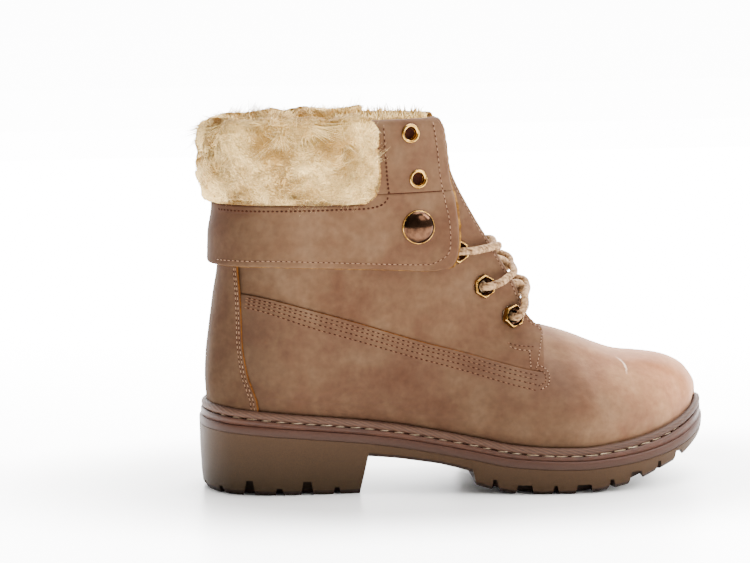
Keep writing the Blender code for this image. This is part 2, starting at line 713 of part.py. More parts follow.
def gap_tool(a, b, low, high, z0, roof):
    """A tool that starts under the tread and keeps the gap's flare."""
    under = 3.0
    flare = (low - high) / roof * under
    return solid("tool", "sole_rubber", *prism(a, b, low + flare, high, z0 - under, z0 + roof))


def make_outsole():
    ch = 2.0
    heel = 2.6

    def rise(r):
        return heel if r[0] < 84.0 else ch

    def low_inset(r):
        return 3.2 if r[0] < 84.0 else 2.2
    rings = [
        ring_at(low_inset, lambda r: tread_at(r[0])),
        ring_at(lambda r: 1.5 if r[0] < 84.0 else 0.6, lambda r: tread_at(r[0]) + rise(r)),
        ring_at(0.3, lambda r: max(tread_at(r[0]) + rise(r) + 1.0,
                                   tread_at(r[0]) * 0.35 + (RIM_AT(r[0]) - BAND) * 0.65)),
        ring_at(0.5, lambda r: float(RIM_AT(r[0])) - BAND - GAP),
    ]
    sole = solid("outsole", "sole_rubber", *stack(rings))
    tools = []
    for x, low, high, roof, across in GAPS:
        z0 = tread_at(x)
        lat, med = outline_row(x, -1), outline_row(x, 1)
        if across:
            a = (x - 0.4, lat[1] - 5.0)
            b = (x + 0.4, med[1] + 5.0)
            tools.append(gap_tool(a, b, low, high, z0, roof))
            continue
        for k, r in enumerate((lat, med)):
            a = (r[0] - r[3] * 5, r[1] - r[4] * 5)
            b = (r[0] + r[3] * 11, r[1] + r[4] * 11)
            tools.append(gap_tool(a, b, low, high, z0, roof - 0.13 * k))
    for y, toe, low, high, roof in END_GAPS:
        ids = [i for i in range(len(FINE)) if (FINE[i][0] > 135) == bool(toe)]
        r = FINE[min(ids, key=lambda i: abs(FINE[i][1] - y) + (0 if toe else 0.2 * FINE[i][0]))]
        z0 = tread_at(r[0] + r[3] * 6)
        a = (r[0] - r[3] * 5, r[1] - r[4] * 5)
        b = (r[0] + r[3] * 9, r[1] + r[4] * 9)
        tools.append(gap_tool(a, b, low, high, z0, roof))
    for part in (-0.36, 0.36):
        xs = [146, 158, 166, 182, 198, 213, 231, 246]
        for x0, x1 in zip(xs, xs[1:]):
            ends = []
            for x in (x0 - 0.35, x1 + 0.35):
                lat, med = outline_row(x, -1)[1], outline_row(x, 1)[1]
                ends.append((x, (lat + med) / 2 + part * (med - lat) / 2))
            z0 = min(tread_at(x0), tread_at(x1))
            rise_z = max(tread_at(x0), tread_at(x1)) - z0
            tools.append(gap_tool(ends[0], ends[1], 5.0, 3.6, z0, rise_z + 3.3))
    tools.append(gap_tool((14.0, 0.3), (92.0, 0.3), 6.0, 4.0, 0.0, 5.1))
    boolean(sole, tools, "DIFFERENCE")
    return sole


def make_midsole():
    rings = [
        ring_at(0.6, lambda r: float(RIM_AT(r[0])) - BAND),
        ring_at(0.0, lambda r: float(RIM_AT(r[0])) - 1.6),
        ring_at(0.7, lambda r: float(RIM_AT(r[0]))),
        ring_at(lambda r: r[2] + 4.4, lambda r: float(RIM_AT(r[0])) + 0.0),
        ring_at(lambda r: r[2] + 4.4, lambda r: float(RIM_AT(r[0])) + FLANGE),
    ]
    return solid("midsole", "midsole_rubber", *stack(rings))


def welt_profile(r):
    """Inset and height over the rim of each corner of the welt's section."""
    bead = float(BEAD_AT(r[0]))
    d = r[2]
    ledge = bead - 4.3
    return (
        (0.9, GAP), (1.6, ledge),
        (d - 3.9, ledge - 0.4), (d - 4.1, bead - 1.6),
        (d - 2.5, bead), (d - 0.6, FLANGE),
        (d + 4.0, FLANGE), (d + 4.0, GAP),
    )


def make_welt():
    verts = []
    for r in RING:
        for d, h in welt_profile(r):
            verts.append((r[0] + r[3] * d, r[1] + r[4] * d, float(RIM_AT(r[0])) + h))
    m = len(welt_profile(RING[0]))
    n = len(RING)
    faces = []
    for i in range(n):
        for k in range(m):
            j, l = (i + 1) % n, (k + 1) % m
            faces.append([i * m + k, j * m + k, j * m + l, i * m + l])
    return solid("welt", "welt_rubber", verts, faces)


def make_insole():
    rings = [
        ring_at(lambda r: r[2] + 4.4, lambda r: float(RIM_AT(r[0])) + FLANGE + GAP),
        ring_at(lambda r: r[2] + 4.9, lambda r: float(RIM_AT(r[0])) + FLANGE + GAP + 2.0),
        ring_at(lambda r: r[2] + 5.8, lambda r: float(RIM_AT(r[0])) + FLANGE + GAP + 2.8),
    ]
    return solid("insole", "insole_board", *stack(rings))


# ---------------------------------------------------------------- upper
QUARTER = 5               # columns from the panel's edge to the throat
LOWER = 6                 # columns from the lower edge to the panel's edge
CREST = 3                 # columns across the vamp's crest


def upper_rows():
    rows = [0, 1, 2, 3, 3.6, 4, 4.4, 4.7, 5.2, 6, 7, 8, 9, 10, 11, 12]
    rows += [12.6, 13, 13.5, 14, 15, 16, 17, THROAT_ROW - 0.1, THROAT_ROW + 0.35]
    rows += [18.7, 19.4] + list(range(20, TOE_ROW + 1))
    return rows


def facing_lift(s, share):
    """Height of the facing's front edge over the vamp's level, fading back and
    down.  share is 0 at the throat, 1 at the panel's edge."""
    rise = min(max((s - 9.0) / 8.5, 0.0), 1.0)
    return rise * (FACING + (PANEL - FACING) * min(share * 1.15, 1.0))


def upper_columns(s, side):
    """Places and heights on one side, from the lower or back edge to the
    throat's edge."""
    edge = throat_edge(s, side)
    line = panel_edge(s, side)
    half_step = side * 0.35 / (np.linalg.norm(at(s, line + side * 0.01) - at(s, line)) * 100)
    vamp = s > THROAT_ROW
    low = line + half_step
    places = np.linspace(side, low, 61)
    over = []
    for t in places:
        p = at(s, t)
        over.append(p[2] - feather_at(p[0], t)[1])
    length = abs(side - low) * side_length(s, side)
    first = []
    for k, (rise, arc) in enumerate(((3.5, 9.0), (7.0, 20.0), (14.0, 34.0))):
        f = float(np.interp(max(rise, over[0] + 1.5 * k), over, np.linspace(0, 1, 61)))
        widest = arc + 40.0 * max(0.0, s - HEEL_ROW)
        first.append(min(f, widest / length, (k + 1) / LOWER))
    rest_of = LOWER - len(first)
    first += [first[-1] + (1 - first[-1]) * k / rest_of for k in range(1, rest_of + 1)]
    out = []
    for f in [0.0] + first:
        t = side * (1 - f) + low * f
        out.append((t, panel_level(s, t)))
    for k in range(QUARTER + 1):
        f = 1 - (1 - k / QUARTER) ** 1.4
        lift = PANEL if vamp else facing_lift(s, 1 - f)
        out.append(((line - half_step) * (1 - f) + edge * f, lift))
    return out


def side_length(s, side):
    """Length of one side of a section, over a full turn of t."""
    row = np.array([at(s, side * k / 20) for k in range(21)])
    return float(np.linalg.norm(np.diff(row, axis=0), axis=1).sum())


def foot_inside(s, t):
    """Inner corner of the lower edge, level with the outer one."""
    p = at(s, t)
    n = normal(s, t) * (1, 1, 0)
    return p - n / np.linalg.norm(n) * WALL


def make_upper():
    rows = upper_rows()
    outer, inner, grid = [], [], []
    for s in rows:
        lat = upper_columns(s, -1)
        med = upper_columns(s, 1)
        crest = [(lat[-1][0] + (med[-1][0] - lat[-1][0]) * k / CREST, PANEL) for k in range(1, CREST)]
        line = lat + crest + med[::-1]
        ids = []
        for t, level in line:
            ids.append(len(outer))
            outer.append(at(s, t, level))
            inner.append(foot_inside(s, t) if abs(t) == 1 and s >= HEEL_ROW else at(s, t, -WALL))
        n = len(lat)
        if s <= HEEL_ROW:
            ids[-1] = ids[0]
        if s == TOE_ROW:
            for k in range(len(ids)):
                m = len(ids) - 1 - k
                if m > k:
                    ids[m] = ids[k]
        grid.append(ids)
    quads = []
    side = LOWER + QUARTER + 1
    for i in range(len(rows) - 1):
        for k in range(len(grid[i]) - 1):
            crest = side <= k < side + CREST
            if crest and rows[i] < THROAT_ROW:
                continue
            quads.append([grid[i][k], grid[i + 1][k], grid[i + 1][k + 1], grid[i][k + 1]])
    return solid("upper", "nubuck_leather", *thick_sheet(outer, inner, quads))


# ---------------------------------------------------------------- tongue
WING = 14.0               # the tongue reaches this far under each facing
UNDER = 0.9               # and lies this far under the upper's inner face
SINK = 6.0                # between the facings it is drawn in this much further


def make_tongue():
    rows = [0.45, 1.0, 2.0, 3.0, 4.0, 5.0, 6.0, 7.0, 9.0, 12.0, 14.0, 16.0, 17.0, 18.0, 18.8, 19.5]
    grid_rows = []
    for s in rows:
        edge = [throat_edge(s, side) for side in (-1, 1)]
        wing = [side * WING / side_length(s, side) for side in (-1, 1)]
        line = [edge[0] + wing[0], edge[0] + wing[0] / 2] + list(np.linspace(edge[0], edge[1], CREST + 1))
        line += [edge[1] + wing[1] / 2, edge[1] + wing[1]]
        row = []
        for t in line:
            across = (t - edge[0]) / (edge[1] - edge[0])
            sink = SINK * max(4 * across * (1 - across), 0.0) * min(max((THROAT_ROW - s) / 3, 0.15), 1.0)
            face = -WALL - UNDER - sink
            row.append((at(s, t, face), at(s, t, face - TONGUE)))
        grid_rows.append(row)
    return sheet("tongue", "nubuck_leather", grid_rows)


# ---------------------------------------------------------------- shaft
def row_at(z, t):
    """Section whose point at place t lies at height z."""
    j = min(max((t + 1) * ARC, 0), 2 * ARC - 0.001)
    j0 = int(j)
    n = HEEL_ROW * STEP + 1
    col = SURF[:n, j0, 2] * (1 - (j - j0)) + SURF[:n, j0 + 1, 2] * (j - j0)
    return float(np.interp(-z, -col, S_GRID[:n]))


def shell(z, q, off=0.0):
    """Point round the shaft at height z and place q: 0 at the back, -1 and 1 at
    the ridge.  Over the collar it goes straight up."""
    t = (1.0 - abs(q)) * (1 if q >= 0 else -1)
    p = at(row_at(z, t), t, off)
    p[2] = z
    return p


def place_at(x, z, side, off=0.0):
    """Place q on one side where the shaft, off out of its surface, lies at x."""
    qs = np.linspace(0.0, 0.99, 100)
    xs = [shell(z, side * q, off)[0] for q in qs]
    return float(np.interp(x, xs, qs))


# ---------------------------------------------------------------- back panel
BACK_CENTRE = 45.0


def heel_at(angle, z, off):
    """Point of the heel's surface at height z, in direction angle from straight
    back about the centre of the heel."""
    side = 1 if angle >= 0 else -1
    block = SURF[:17 * STEP, half(side)]
    ang = np.arctan2(block[:, :, 1], BACK_CENTRE - block[:, :, 0])
    d = ((ang - angle) * 38.0) ** 2 + (block[:, :, 2] - z) ** 2
    i, j = np.unravel_index(int(np.argmin(d)), d.shape)
    s, t = i / STEP, (j / ARC if side > 0 else j / ARC - 1)
    e = 0.01
    for _ in range(6):
        def miss(s, t):
            p = at(s, t)
            return np.array([(math.atan2(p[1], BACK_CENTRE - p[0]) - angle) * 38.0, p[2] - z])
        m = miss(s, t)
        ds = (miss(s + e, t) - m) / e
        dt = (m - miss(s, t - e * side)) / (e * side)
        jac = np.stack([ds, dt], 1)
        if abs(np.linalg.det(jac)) < 1e-6:
            break
        step = np.linalg.solve(jac, -m)
        s = min(max(s + float(np.clip(step[0], -0.5, 0.5)), 0), 17)
        t = side * min(max(abs(t + float(np.clip(step[1], -0.1, 0.1))), 0.0), 1.0)
    return at(s, t, off)


COUNTER_X = curve([z for _, z in COUNTER_EDGE], [x for x, _ in COUNTER_EDGE])


def counter_angle(z, side):
    """Direction in which the back panel ends at height z."""
    s, t = find(float(COUNTER_X(z)), z, side)
    p = at(s, t)
    return math.atan2(p[1], BACK_CENTRE - p[0])


def make_back_panel():
    shares = (0.0, 0.12, 0.26, 0.4, 0.55, 0.7, 0.85, 1.0)
    columns_across = 12
    grid_rows = []
    for share in shares:
        row = []
        for k in range(columns_across + 1):
            u = 2 * k / columns_across - 1
            z = 90.0
            for _ in range(4):
                edge = abs(counter_angle(z, 1 if u >= 0 else -1))
                x = heel_at(u * edge, z, 0.0)[0]
                low = float(RIM_AT(x - 5.0) + BEAD_AT(x - 5.0)) + 0.5
                z = low + share * (COUNTER_TOP - low)
            end = 0.35 if abs(u) == 1 else 0.0
            row.append((heel_at(u * edge, z, COUNTER_OUT - end), heel_at(u * edge, z, COUNTER_IN)))
        grid_rows.append(row)
    return sheet("back_panel", "nubuck_leather", grid_rows)


# ---------------------------------------------------------------- cuff
CUFF_X = curve([z for _, z in CUFF_FRONT], [x for x, _ in CUFF_FRONT])
CUFF_Z = curve(*columns(CUFF_LOW))


def cuff_inside(x, z):
    """Gap between the last and the cuff: wider over the back panel, and at the
    front corner, which stands on the top eyelet and its lace."""
    back = min(max((36.0 - x) / 8.0, 0.0), 1.0) * min(max((150.0 - z) / 16.0, 0.0), 1.0)
    corner = min(max((x - 119.0) / 10.0, 0.0), 1.0) * min(max((160.0 - z) / 22.0, 0.0), 1.0)
    return 0.9 + 2.0 * back + 1.9 * corner


def cuff_columns(z):
    """Places round the shaft at height z: lateral front edge, the fur's front
    edge, the back, and so on to the medial front edge."""
    sides = []
    for side in (-1, 1):
        fur = place_at(FUR_FRONT, z, side)
        fur_end = place_at(FUR_FRONT + 1.0, z, side)
        edge = float(CUFF_X(z))
        front = place_at(edge, z, side, cuff_inside(edge, z) + BAND_THICK)
        line = [fur * (k / 7) ** 1.3 for k in range(1, 8)]
        line += [fur_end + (front - fur_end) * k / 3 for k in range(4)]
        sides.append([side * q for q in line])
    return sides[0][::-1] + [0.0] + sides[1]


def make_cuff():
    shares = (0.0, 0.05, 0.14, 0.34, 0.66, 1.0)
    over = (
        # outer height, outer offset, inner height, inner offset
        (152.4, CUFF_THIN, 152.4, 0.9), (172.0, CUFF_THIN, 172.0, 0.9), (188.5, CUFF_THIN, 188.5, 0.9),
        (193.3, 3.0, 192.8, 0.8), (194.4, 0.8, 193.0, -0.3), (194.2, -2.8, 193.0, -2.3),
        (192.8, -5.2, 192.8, -3.7), (184.0, -5.5, 184.0, -3.7),
    )
    grid_rows = []
    for share in shares:
        qs = None
        z_line = [120.0] * 23
        for _ in range(3):
            places = [cuff_columns(z)[k] for k, z in enumerate(z_line)]
            low = [float(CUFF_Z(shell(z, q)[0])) for q, z in zip(places, z_line)]
            z_line = [a + share * (BAND_TOP - a) for a in low]
        row = []
        for q, z in zip(places, z_line):
            x = shell(z, q)[0]
            inside = cuff_inside(x, z)
            thick = BAND_THICK - (0.8 if share == 0.0 else 0.0)
            row.append((shell(z, q, inside + thick), shell(z, q, inside)))
        grid_rows.append(row)
    strips = (0, 1, 2, 3, 19, 20, 21, 22)
    for z_out, out, z_in, inn in over:
        places = cuff_columns(min(z_out, 192.0))
        row = []
        for k, q in enumerate(places):
            x = shell(min(z_out, 192.0), q)[0]
            inside_lift = cuff_inside(x, z_out) - 0.9 if 0 < out and z_out < 190 else 0.0
            if k in strips and out > 0:
                out_here = out + inside_lift + BAND_THICK - CUFF_THIN + 0.9 * min(out / CUFF_THIN, 1.0)
            else:
                out_here = out + inside_lift
            row.append((shell(z_out, q, out_here), shell(z_in, q, inn + inside_lift)))
        grid_rows.append(row)
    return sheet("cuff", "nubuck_leather", grid_rows)


# ---------------------------------------------------------------- fur
FUR_PATH = (
    # outer height, outer offset, inner height, inner offset, lock
    (151.2, 7.4, 153.0, 4.2, 1.2), (154.4, 10.8, 155.0, 4.0, 1.6), (163.5, 12.4, 164.0, 4.0, 1.6),
    (173.0, 13.0, 174.0, 4.0, 1.6), (183.5, 12.8, 184.0, 4.0, 1.6),
    (193.0, 12.0, 191.0, 4.1, 1.6), (198.0, 9.4, 194.9, 3.4, 1.4), (200.3, 4.0, 195.4, 1.2, 1.0),
    (200.3, -2.0, 195.4, -1.8, 1.0), (198.0, -7.6, 194.9, -5.2, 1.2), (192.0, -10.6, 192.4, -6.9, 1.4),
    (182.0, -11.0, 183.0, -6.9, 1.4), (171.5, -9.0, 173.0, -6.9, 0.6),
)
FUR_COLUMNS = 28
FUR_EDGE = ((150.0, 87.5), (155.0, 90.5), (158.0, 92.3), (166.0, 93.4), (181.0, 92.2), (196.0, 93.0),
            (202.0, 92.0))


def make_cuff_fur():
    """The pile round the cuff: alternate corners of its mesh stand out and hang
    down as locks."""
    edge_x = curve(*columns(FUR_EDGE))
    grid_rows = []
    for i, (z_out, out, z_in, inn, lock) in enumerate(FUR_PATH):
        z_side = min(z_out, 192.0)
        reach = [place_at(float(edge_x(z_out)) - 0.6, z_side, side) for side in (-1, 1)]
        row = []
        for k in range(FUR_COLUMNS + 1):
            u = 2 * k / FUR_COLUMNS - 1
            q = u * (reach[1] if u >= 0 else reach[0])
            tuft = lock * (1.0 if (i + k) % 2 else -0.6) * (1 + 0.35 * math.sin(7.0 * k + 3.1 * i))
            end = abs(u) == 1
            face = 1 if out > 0 else -1
            o = out + (0 if end else face * tuft) - face * (1.6 if end and abs(out) > 5 else 0.0)
            z = z_out - (0 if end else 0.7 * max(tuft, 0.0) * (1 if i < 7 else 0.4))
            row.append((shell(z, q, o), shell(z_in, q, inn)))
        grid_rows.append(row)
    return sheet("cuff_fur", "lining_fur", grid_rows)


# ---------------------------------------------------------------- metal
def lift_at(s, t):
    """Height of the upper's outer face over the last."""
    side = 1 if t > 0 else -1
    edge, line = throat_edge(s, side), panel_edge(s, side)
    if abs(t) >= abs(line):
        return panel_level(s, t)
    return facing_lift(s, min(max((t - edge) / (line - edge), 0.0), 1.0))


def spot(x, z, side):
    """Section, place, surface point, outward direction and level at x, z."""
    s, t = find(x, z, side)
    return s, t, at(s, t), normal(s, t), lift_at(s, t)


def make_eyelets(upper):
    """Hexagonal eyelets through the facings, each in its own hole."""
    holes = []
    for side, word in ((-1, "lateral"), (1, "medial")):
        for k, (x, z, turn) in enumerate(EYELETS):
            s, t, p, n, lift = spot(x, z, side)
            holes.append(turned("tool", "brass", ((0, -5.0), (3.7, -5.0), (3.7, 5.0), (0, 5.0)),
                                p, n, 12))
            around = [2 * math.pi * j / 12 for j in range(12)]
            ring = [spot(x + 6.3 * math.cos(a), z + 6.3 * math.sin(a), side) for a in around]
            base = max([lift] + [float((q[2] + q[3] * q[4] - p) @ n) for q in ring]) + 0.35
            profile = ((6.5, base), (6.5, base + 0.4), (5.7, base + 1.3), (2.9, base + 0.9),
                       (2.7, -WALL - 0.3), (3.3, -WALL - 0.3), (3.3, base))
            turned("eyelet_%s_%d" % (word, k + 1), "brass", profile, p, n, 6, turn=turn * side)
    boolean(upper, holes, "DIFFERENCE")


def make_washers_and_snaps(cuff):
    holes = []
    for side, word in ((-1, "lateral"), (1, "medial")):
        for k, (x, z) in enumerate(WASHERS):
            s, t, p, n, _ = spot(x, z, side)
            face = cuff_inside(x, z) + BAND_THICK
            holes.append(turned("tool", "brass", ((0, face - 2.6), (3.9, face - 2.6), (3.9, face + 4),
                                                  (0, face + 4)), p, n, 12))
            profile = ((5.0, face + 0.35), (4.3, face + 1.1), (3.1, face + 0.6),
                       (3.1, face - 2.2), (3.55, face - 2.2), (3.55, face + 0.35))
            turned("washer_%s_%d" % (word, k + 1), "brass", profile, p, n, 9)
        s, t, p, n, _ = spot(*SNAP, side)
        face = cuff_inside(SNAP[0], SNAP[1]) + BAND_THICK + 0.55
        profile = ((0, face), (8.6, face), (9.25, face + 0.7), (8.7, face + 1.5), (6.2, face + 2.7),
                   (3.0, face + 3.3), (0, face + 3.5))
        turned("snap_" + word, "dark_brass", profile, p, n, 12)
    boolean(cuff, holes, "DIFFERENCE")


# ---------------------------------------------------------------- laces
LACE_ROUTES = (
    # name, crossed, route rows: height, place (2 eyelet, 1 facing edge, 0 ridge), clearance
    ("lace_cross_1", True, ((88.3, 2.0, 5.8), (93.2, 1.45, 5.6), (98.2, 0.97, 2.7), (102.4, 0.0, -2.2),
                            (105.6, -0.56, -1.6))),
    ("lace_cross_2", True, ((105.2, 2.0, 4.2), (106.6, 1.6, 4.3), (109.6, 1.15, 2.9), (111.3, 0.9, 2.2),
                            (115.6, 0.0, -4.0), (119.2, -0.56, -2.6))),
    ("lace_bar_top", False, ((124.2, 1.72, 3.2), (124.6, 1.35, 2.7), (125.0, 0.95, 2.7), (125.2, 0.0, -5.4))),
)


def height_row(z, place, side, eye):
    """Section and place for a row of a lace's route."""
    def spot_at(s):
        edge = throat_edge(s, side if place >= 0 else -side)
        if place <= 1:
            return edge * abs(place)
        return edge + (eye - edge) * (place - 1)
    low, high = 0.0, float(THROAT_ROW)
    for _ in range(24):
        mid = (low + high) / 2
        if at(mid, spot_at(mid))[2] > z:
            low = mid
        else:
            high = mid
    return low, spot_at(low)


def smooth_path(points, steps):
    """Round curve through the points, steps to each span."""
    p = [np.asarray(q, float) for q in points]
    ends = [2 * p[0] - p[1]] + p + [2 * p[-1] - p[-2]]
    out = []
    for i in range(1, len(ends) - 2):
        a, b, c, d = ends[i - 1:i + 3]
        for k in range(steps):
            t = k / steps
            out.append(0.5 * (2 * b + (c - a) * t + (2 * a - 5 * b + 4 * c - d) * t * t
                              + (3 * b - a - 3 * c + d) * t ** 3))
    return out + [p[-1]]


def tube(name, slot, path, radius, sides):
    """Round solid along a path, flat at its ends."""
    verts, faces = [], []
    up = np.array([0.3, 0.1, 1.0])
    for i, p in enumerate(path):
        d = path[min(i + 1, len(path) - 1)] - path[max(i - 1, 0)]
        d /= np.linalg.norm(d)
        e1 = up - np.dot(up, d) * d
        e1 /= np.linalg.norm(e1)
        up = e1
        e2 = np.cross(d, e1)
        for k in range(sides):
            a = 2 * math.pi * k / sides
            verts.append(p + (e1 * math.cos(a) + e2 * math.sin(a)) * radius)
    for i in range(len(path) - 1):
        for k in range(sides):
            j = (k + 1) % sides
            faces.append([i * sides + k, i * sides + j, (i + 1) * sides + j, (i + 1) * sides + k])
    faces.append(list(range(sides))[::-1])
    faces.append([(len(path) - 1) * sides + k for k in range(sides)])
    return solid(name, slot, verts, faces)


def lace_points(route, side, eyelet):
    out = []
    eye = find(EYELETS[eyelet][0], EYELETS[eyelet][1], side)[1]
    for z, place, clear in route:
        s, t = height_row(z, place, side, eye)
        out.append(at(s, t, clear + (lift_at(s, t) if abs(place) >= 1 else 0.0)))
    return out


def make_laces():
    for k, (name, crossed, route) in enumerate(LACE_ROUTES):
        lat, med = lace_points(route, -1, k), lace_points(route, 1, k)
        if crossed:
            first = tube(name, "cord_braid", smooth_path(lat, 2), LACE, 7)
            other = tube("tool", "cord_braid", smooth_path(med, 2), LACE, 6)
            boolean(first, [other], "UNION")
        else:
            tube(name, "cord_braid", smooth_path(lat + med[-2::-1], 2), LACE, 7)


# ---------------------------------------------------------------- build
for old in list(bpy.data.objects):
    bpy.data.objects.remove(old)

make_outsole()
make_midsole()
make_welt()
make_insole()
upper = make_upper()
make_tongue()
make_back_panel()
cuff = make_cuff()
make_cuff_fur()
make_eyelets(upper)
make_washers_and_snaps(cuff)
make_laces()
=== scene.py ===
"""Biker ankle boot, right foot: the finished look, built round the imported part.

Toe along +X, inner (medial) side along +Y, up along +Z.  Tables and shapes are
in millimetres from the back of the heel on the floor, as in the part's source.
"""
import math

import bmesh
import bpy
import numpy as np
from mathutils import Matrix, Vector


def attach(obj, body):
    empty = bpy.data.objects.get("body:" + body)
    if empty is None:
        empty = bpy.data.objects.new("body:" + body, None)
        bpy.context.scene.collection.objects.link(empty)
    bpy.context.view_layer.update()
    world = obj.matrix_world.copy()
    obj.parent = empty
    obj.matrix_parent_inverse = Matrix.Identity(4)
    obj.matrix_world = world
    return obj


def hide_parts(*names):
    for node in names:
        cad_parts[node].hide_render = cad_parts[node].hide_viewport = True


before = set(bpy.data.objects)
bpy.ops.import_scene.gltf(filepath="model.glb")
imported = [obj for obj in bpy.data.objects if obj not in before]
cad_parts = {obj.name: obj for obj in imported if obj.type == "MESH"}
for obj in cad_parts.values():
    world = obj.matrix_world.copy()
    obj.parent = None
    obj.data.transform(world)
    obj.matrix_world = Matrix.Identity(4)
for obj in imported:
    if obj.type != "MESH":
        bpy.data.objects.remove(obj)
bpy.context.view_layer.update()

MM = 0.001
X_MID = 134.3
Y_MID = -2.0
GAP = 0.3                 # clearance between pieces that touch
WALL = 1.8                # leather of the quarters, below its outer face
PANEL = 1.0               # extra height of the vamp and lower side panel
FACING = 2.3              # extra height of the facings over the vamp
BAND = 4.5                # midsole band
FLANGE = 3.1              # height of the welt's inner flange over the rim
RISE = 18.0               # the upper stands upright this far before it bulges
EVEN = 8.0                # reach over which the bulge is evened out
LACE = 2.1                # radius of the round lace
SIDES = ((-1, "lateral"), (1, "medial"))


# ---- camera
CAMERA_PLACE = (-0.1617, -1.3891, 0.310)
CAMERA_WAY = (0.0862, 0.9858, -0.1443)
CAMERA_ROLL = -0.618      # degrees
CAMERA_LENS = 128.07


def look(location, direction, roll_deg, lens):
    """A camera at a place, looking along a direction and rolled about it."""
    forward = Vector(direction).normalized()
    right = forward.cross(Vector((0, 0, 1))).normalized()
    up = right.cross(forward)
    roll = math.radians(roll_deg)
    side = right * math.cos(roll) + up * math.sin(roll)
    top = up * math.cos(roll) - right * math.sin(roll)
    data = bpy.data.cameras.new("camera")
    data.lens = lens
    data.sensor_width = 36.0
    data.clip_start = 0.05
    data.clip_end = 20.0
    cam = bpy.data.objects.new("camera", data)
    bpy.context.scene.collection.objects.link(cam)
    turn = Matrix((side, top, -forward)).transposed().to_4x4()
    cam.matrix_world = Matrix.Translation(Vector(location)) @ turn
    bpy.context.scene.camera = cam


look(CAMERA_PLACE, CAMERA_WAY, CAMERA_ROLL, CAMERA_LENS)


# ---- the last's tables
# edge of the sole seen from above, and how far the upper stands inside it
OUTLINE = (
    # x, y, inset
    (0.0, 0.0, 5.6), (4.0, -17.0, 5.8), (14.0, -29.0, 6.2), (32.0, -36.0, 6.4),
    (60.0, -37.5, 6.4), (95.0, -37.0, 6.4), (130.0, -42.0, 6.4), (165.0, -50.0, 6.4),
    (190.0, -52.5, 6.4), (215.0, -50.0, 6.4), (240.0, -40.0, 6.2), (258.0, -25.0, 5.8),
    (267.0, -10.0, 5.3), (270.0, 3.0, 5.0), (266.0, 17.0, 5.3), (256.0, 30.0, 5.8),
    (240.0, 40.5, 6.2), (215.0, 47.0, 6.4), (190.0, 48.5, 6.4), (165.0, 44.0, 6.4),
    (130.0, 34.0, 6.4), (95.0, 31.5, 6.4), (60.0, 35.0, 6.4), (32.0, 35.5, 6.4),
    (14.0, 29.0, 6.2), (4.0, 17.0, 5.8),
)
# top edge of the midsole, and top of the bead above it
RIM = (
    # x, rim height, bead height
    (0.0, 38.3, 8.3), (26.0, 36.8, 7.6), (54.0, 34.4, 7.3), (82.0, 31.5, 7.3),
    (109.0, 27.8, 7.2), (123.0, 25.4, 7.1), (141.0, 22.2, 7.0), (160.0, 18.9, 6.8),
    (178.0, 17.6, 6.5), (197.0, 17.1, 6.5), (217.0, 18.3, 7.0), (238.0, 20.9, 8.0),
    (255.0, 25.0, 8.7), (265.0, 29.4, 8.8), (270.0, 32.8, 8.8),
)
# underside of the outsole
TREAD = (
    # x, height
    (-5.0, 0.0), (82.3, 0.0), (86.8, 19.7), (103.0, 18.2), (123.4, 15.4), (133.6, 13.1),
    (140.2, 11.2), (141.8, 4.5), (150.0, 2.5), (158.0, 1.0), (166.0, 0.0), (198.0, 0.0),
    (205.0, 0.8), (213.0, 1.9), (223.0, 3.6), (231.0, 6.1), (238.0, 8.5), (245.0, 10.7),
    (250.0, 12.2), (259.0, 15.8), (266.0, 20.0), (275.0, 27.0),
)
# gaps between the lugs
GAPS = (
    # x, width at floor, width at roof, roof above tread, runs across
    (25.1, 6.2, 3.2, 8.0, 1), (40.1, 4.2, 2.8, 3.9, 0), (55.0, 6.6, 4.2, 7.4, 1),
    (70.3, 3.8, 2.6, 3.9, 0), (151.6, 4.2, 1.8, 5.6, 0), (167.2, 9.6, 7.2, 5.0, 1),
    (182.7, 3.4, 1.6, 4.7, 0), (198.1, 9.6, 7.2, 4.8, 1), (212.7, 4.4, 1.8, 5.0, 0),
    (226.5, 8.2, 5.4, 5.2, 1), (239.6, 3.6, 1.8, 4.8, 0), (251.8, 5.6, 3.4, 4.4, 1),
)
# small gaps round the back of the heel and the toe: place on the outline
END_GAPS = (
    # y, toe end, width at floor, width at roof, roof above tread
    (-24.5, 0, 3.4, 2.2, 3.8), (-9.0, 0, 3.4, 2.2, 3.8), (9.0, 0, 3.4, 2.2, 3.8),
    (24.5, 0, 3.4, 2.2, 3.8), (-10.0, 1, 4.0, 2.2, 4.2), (15.0, 1, 4.0, 2.2, 4.2),
)
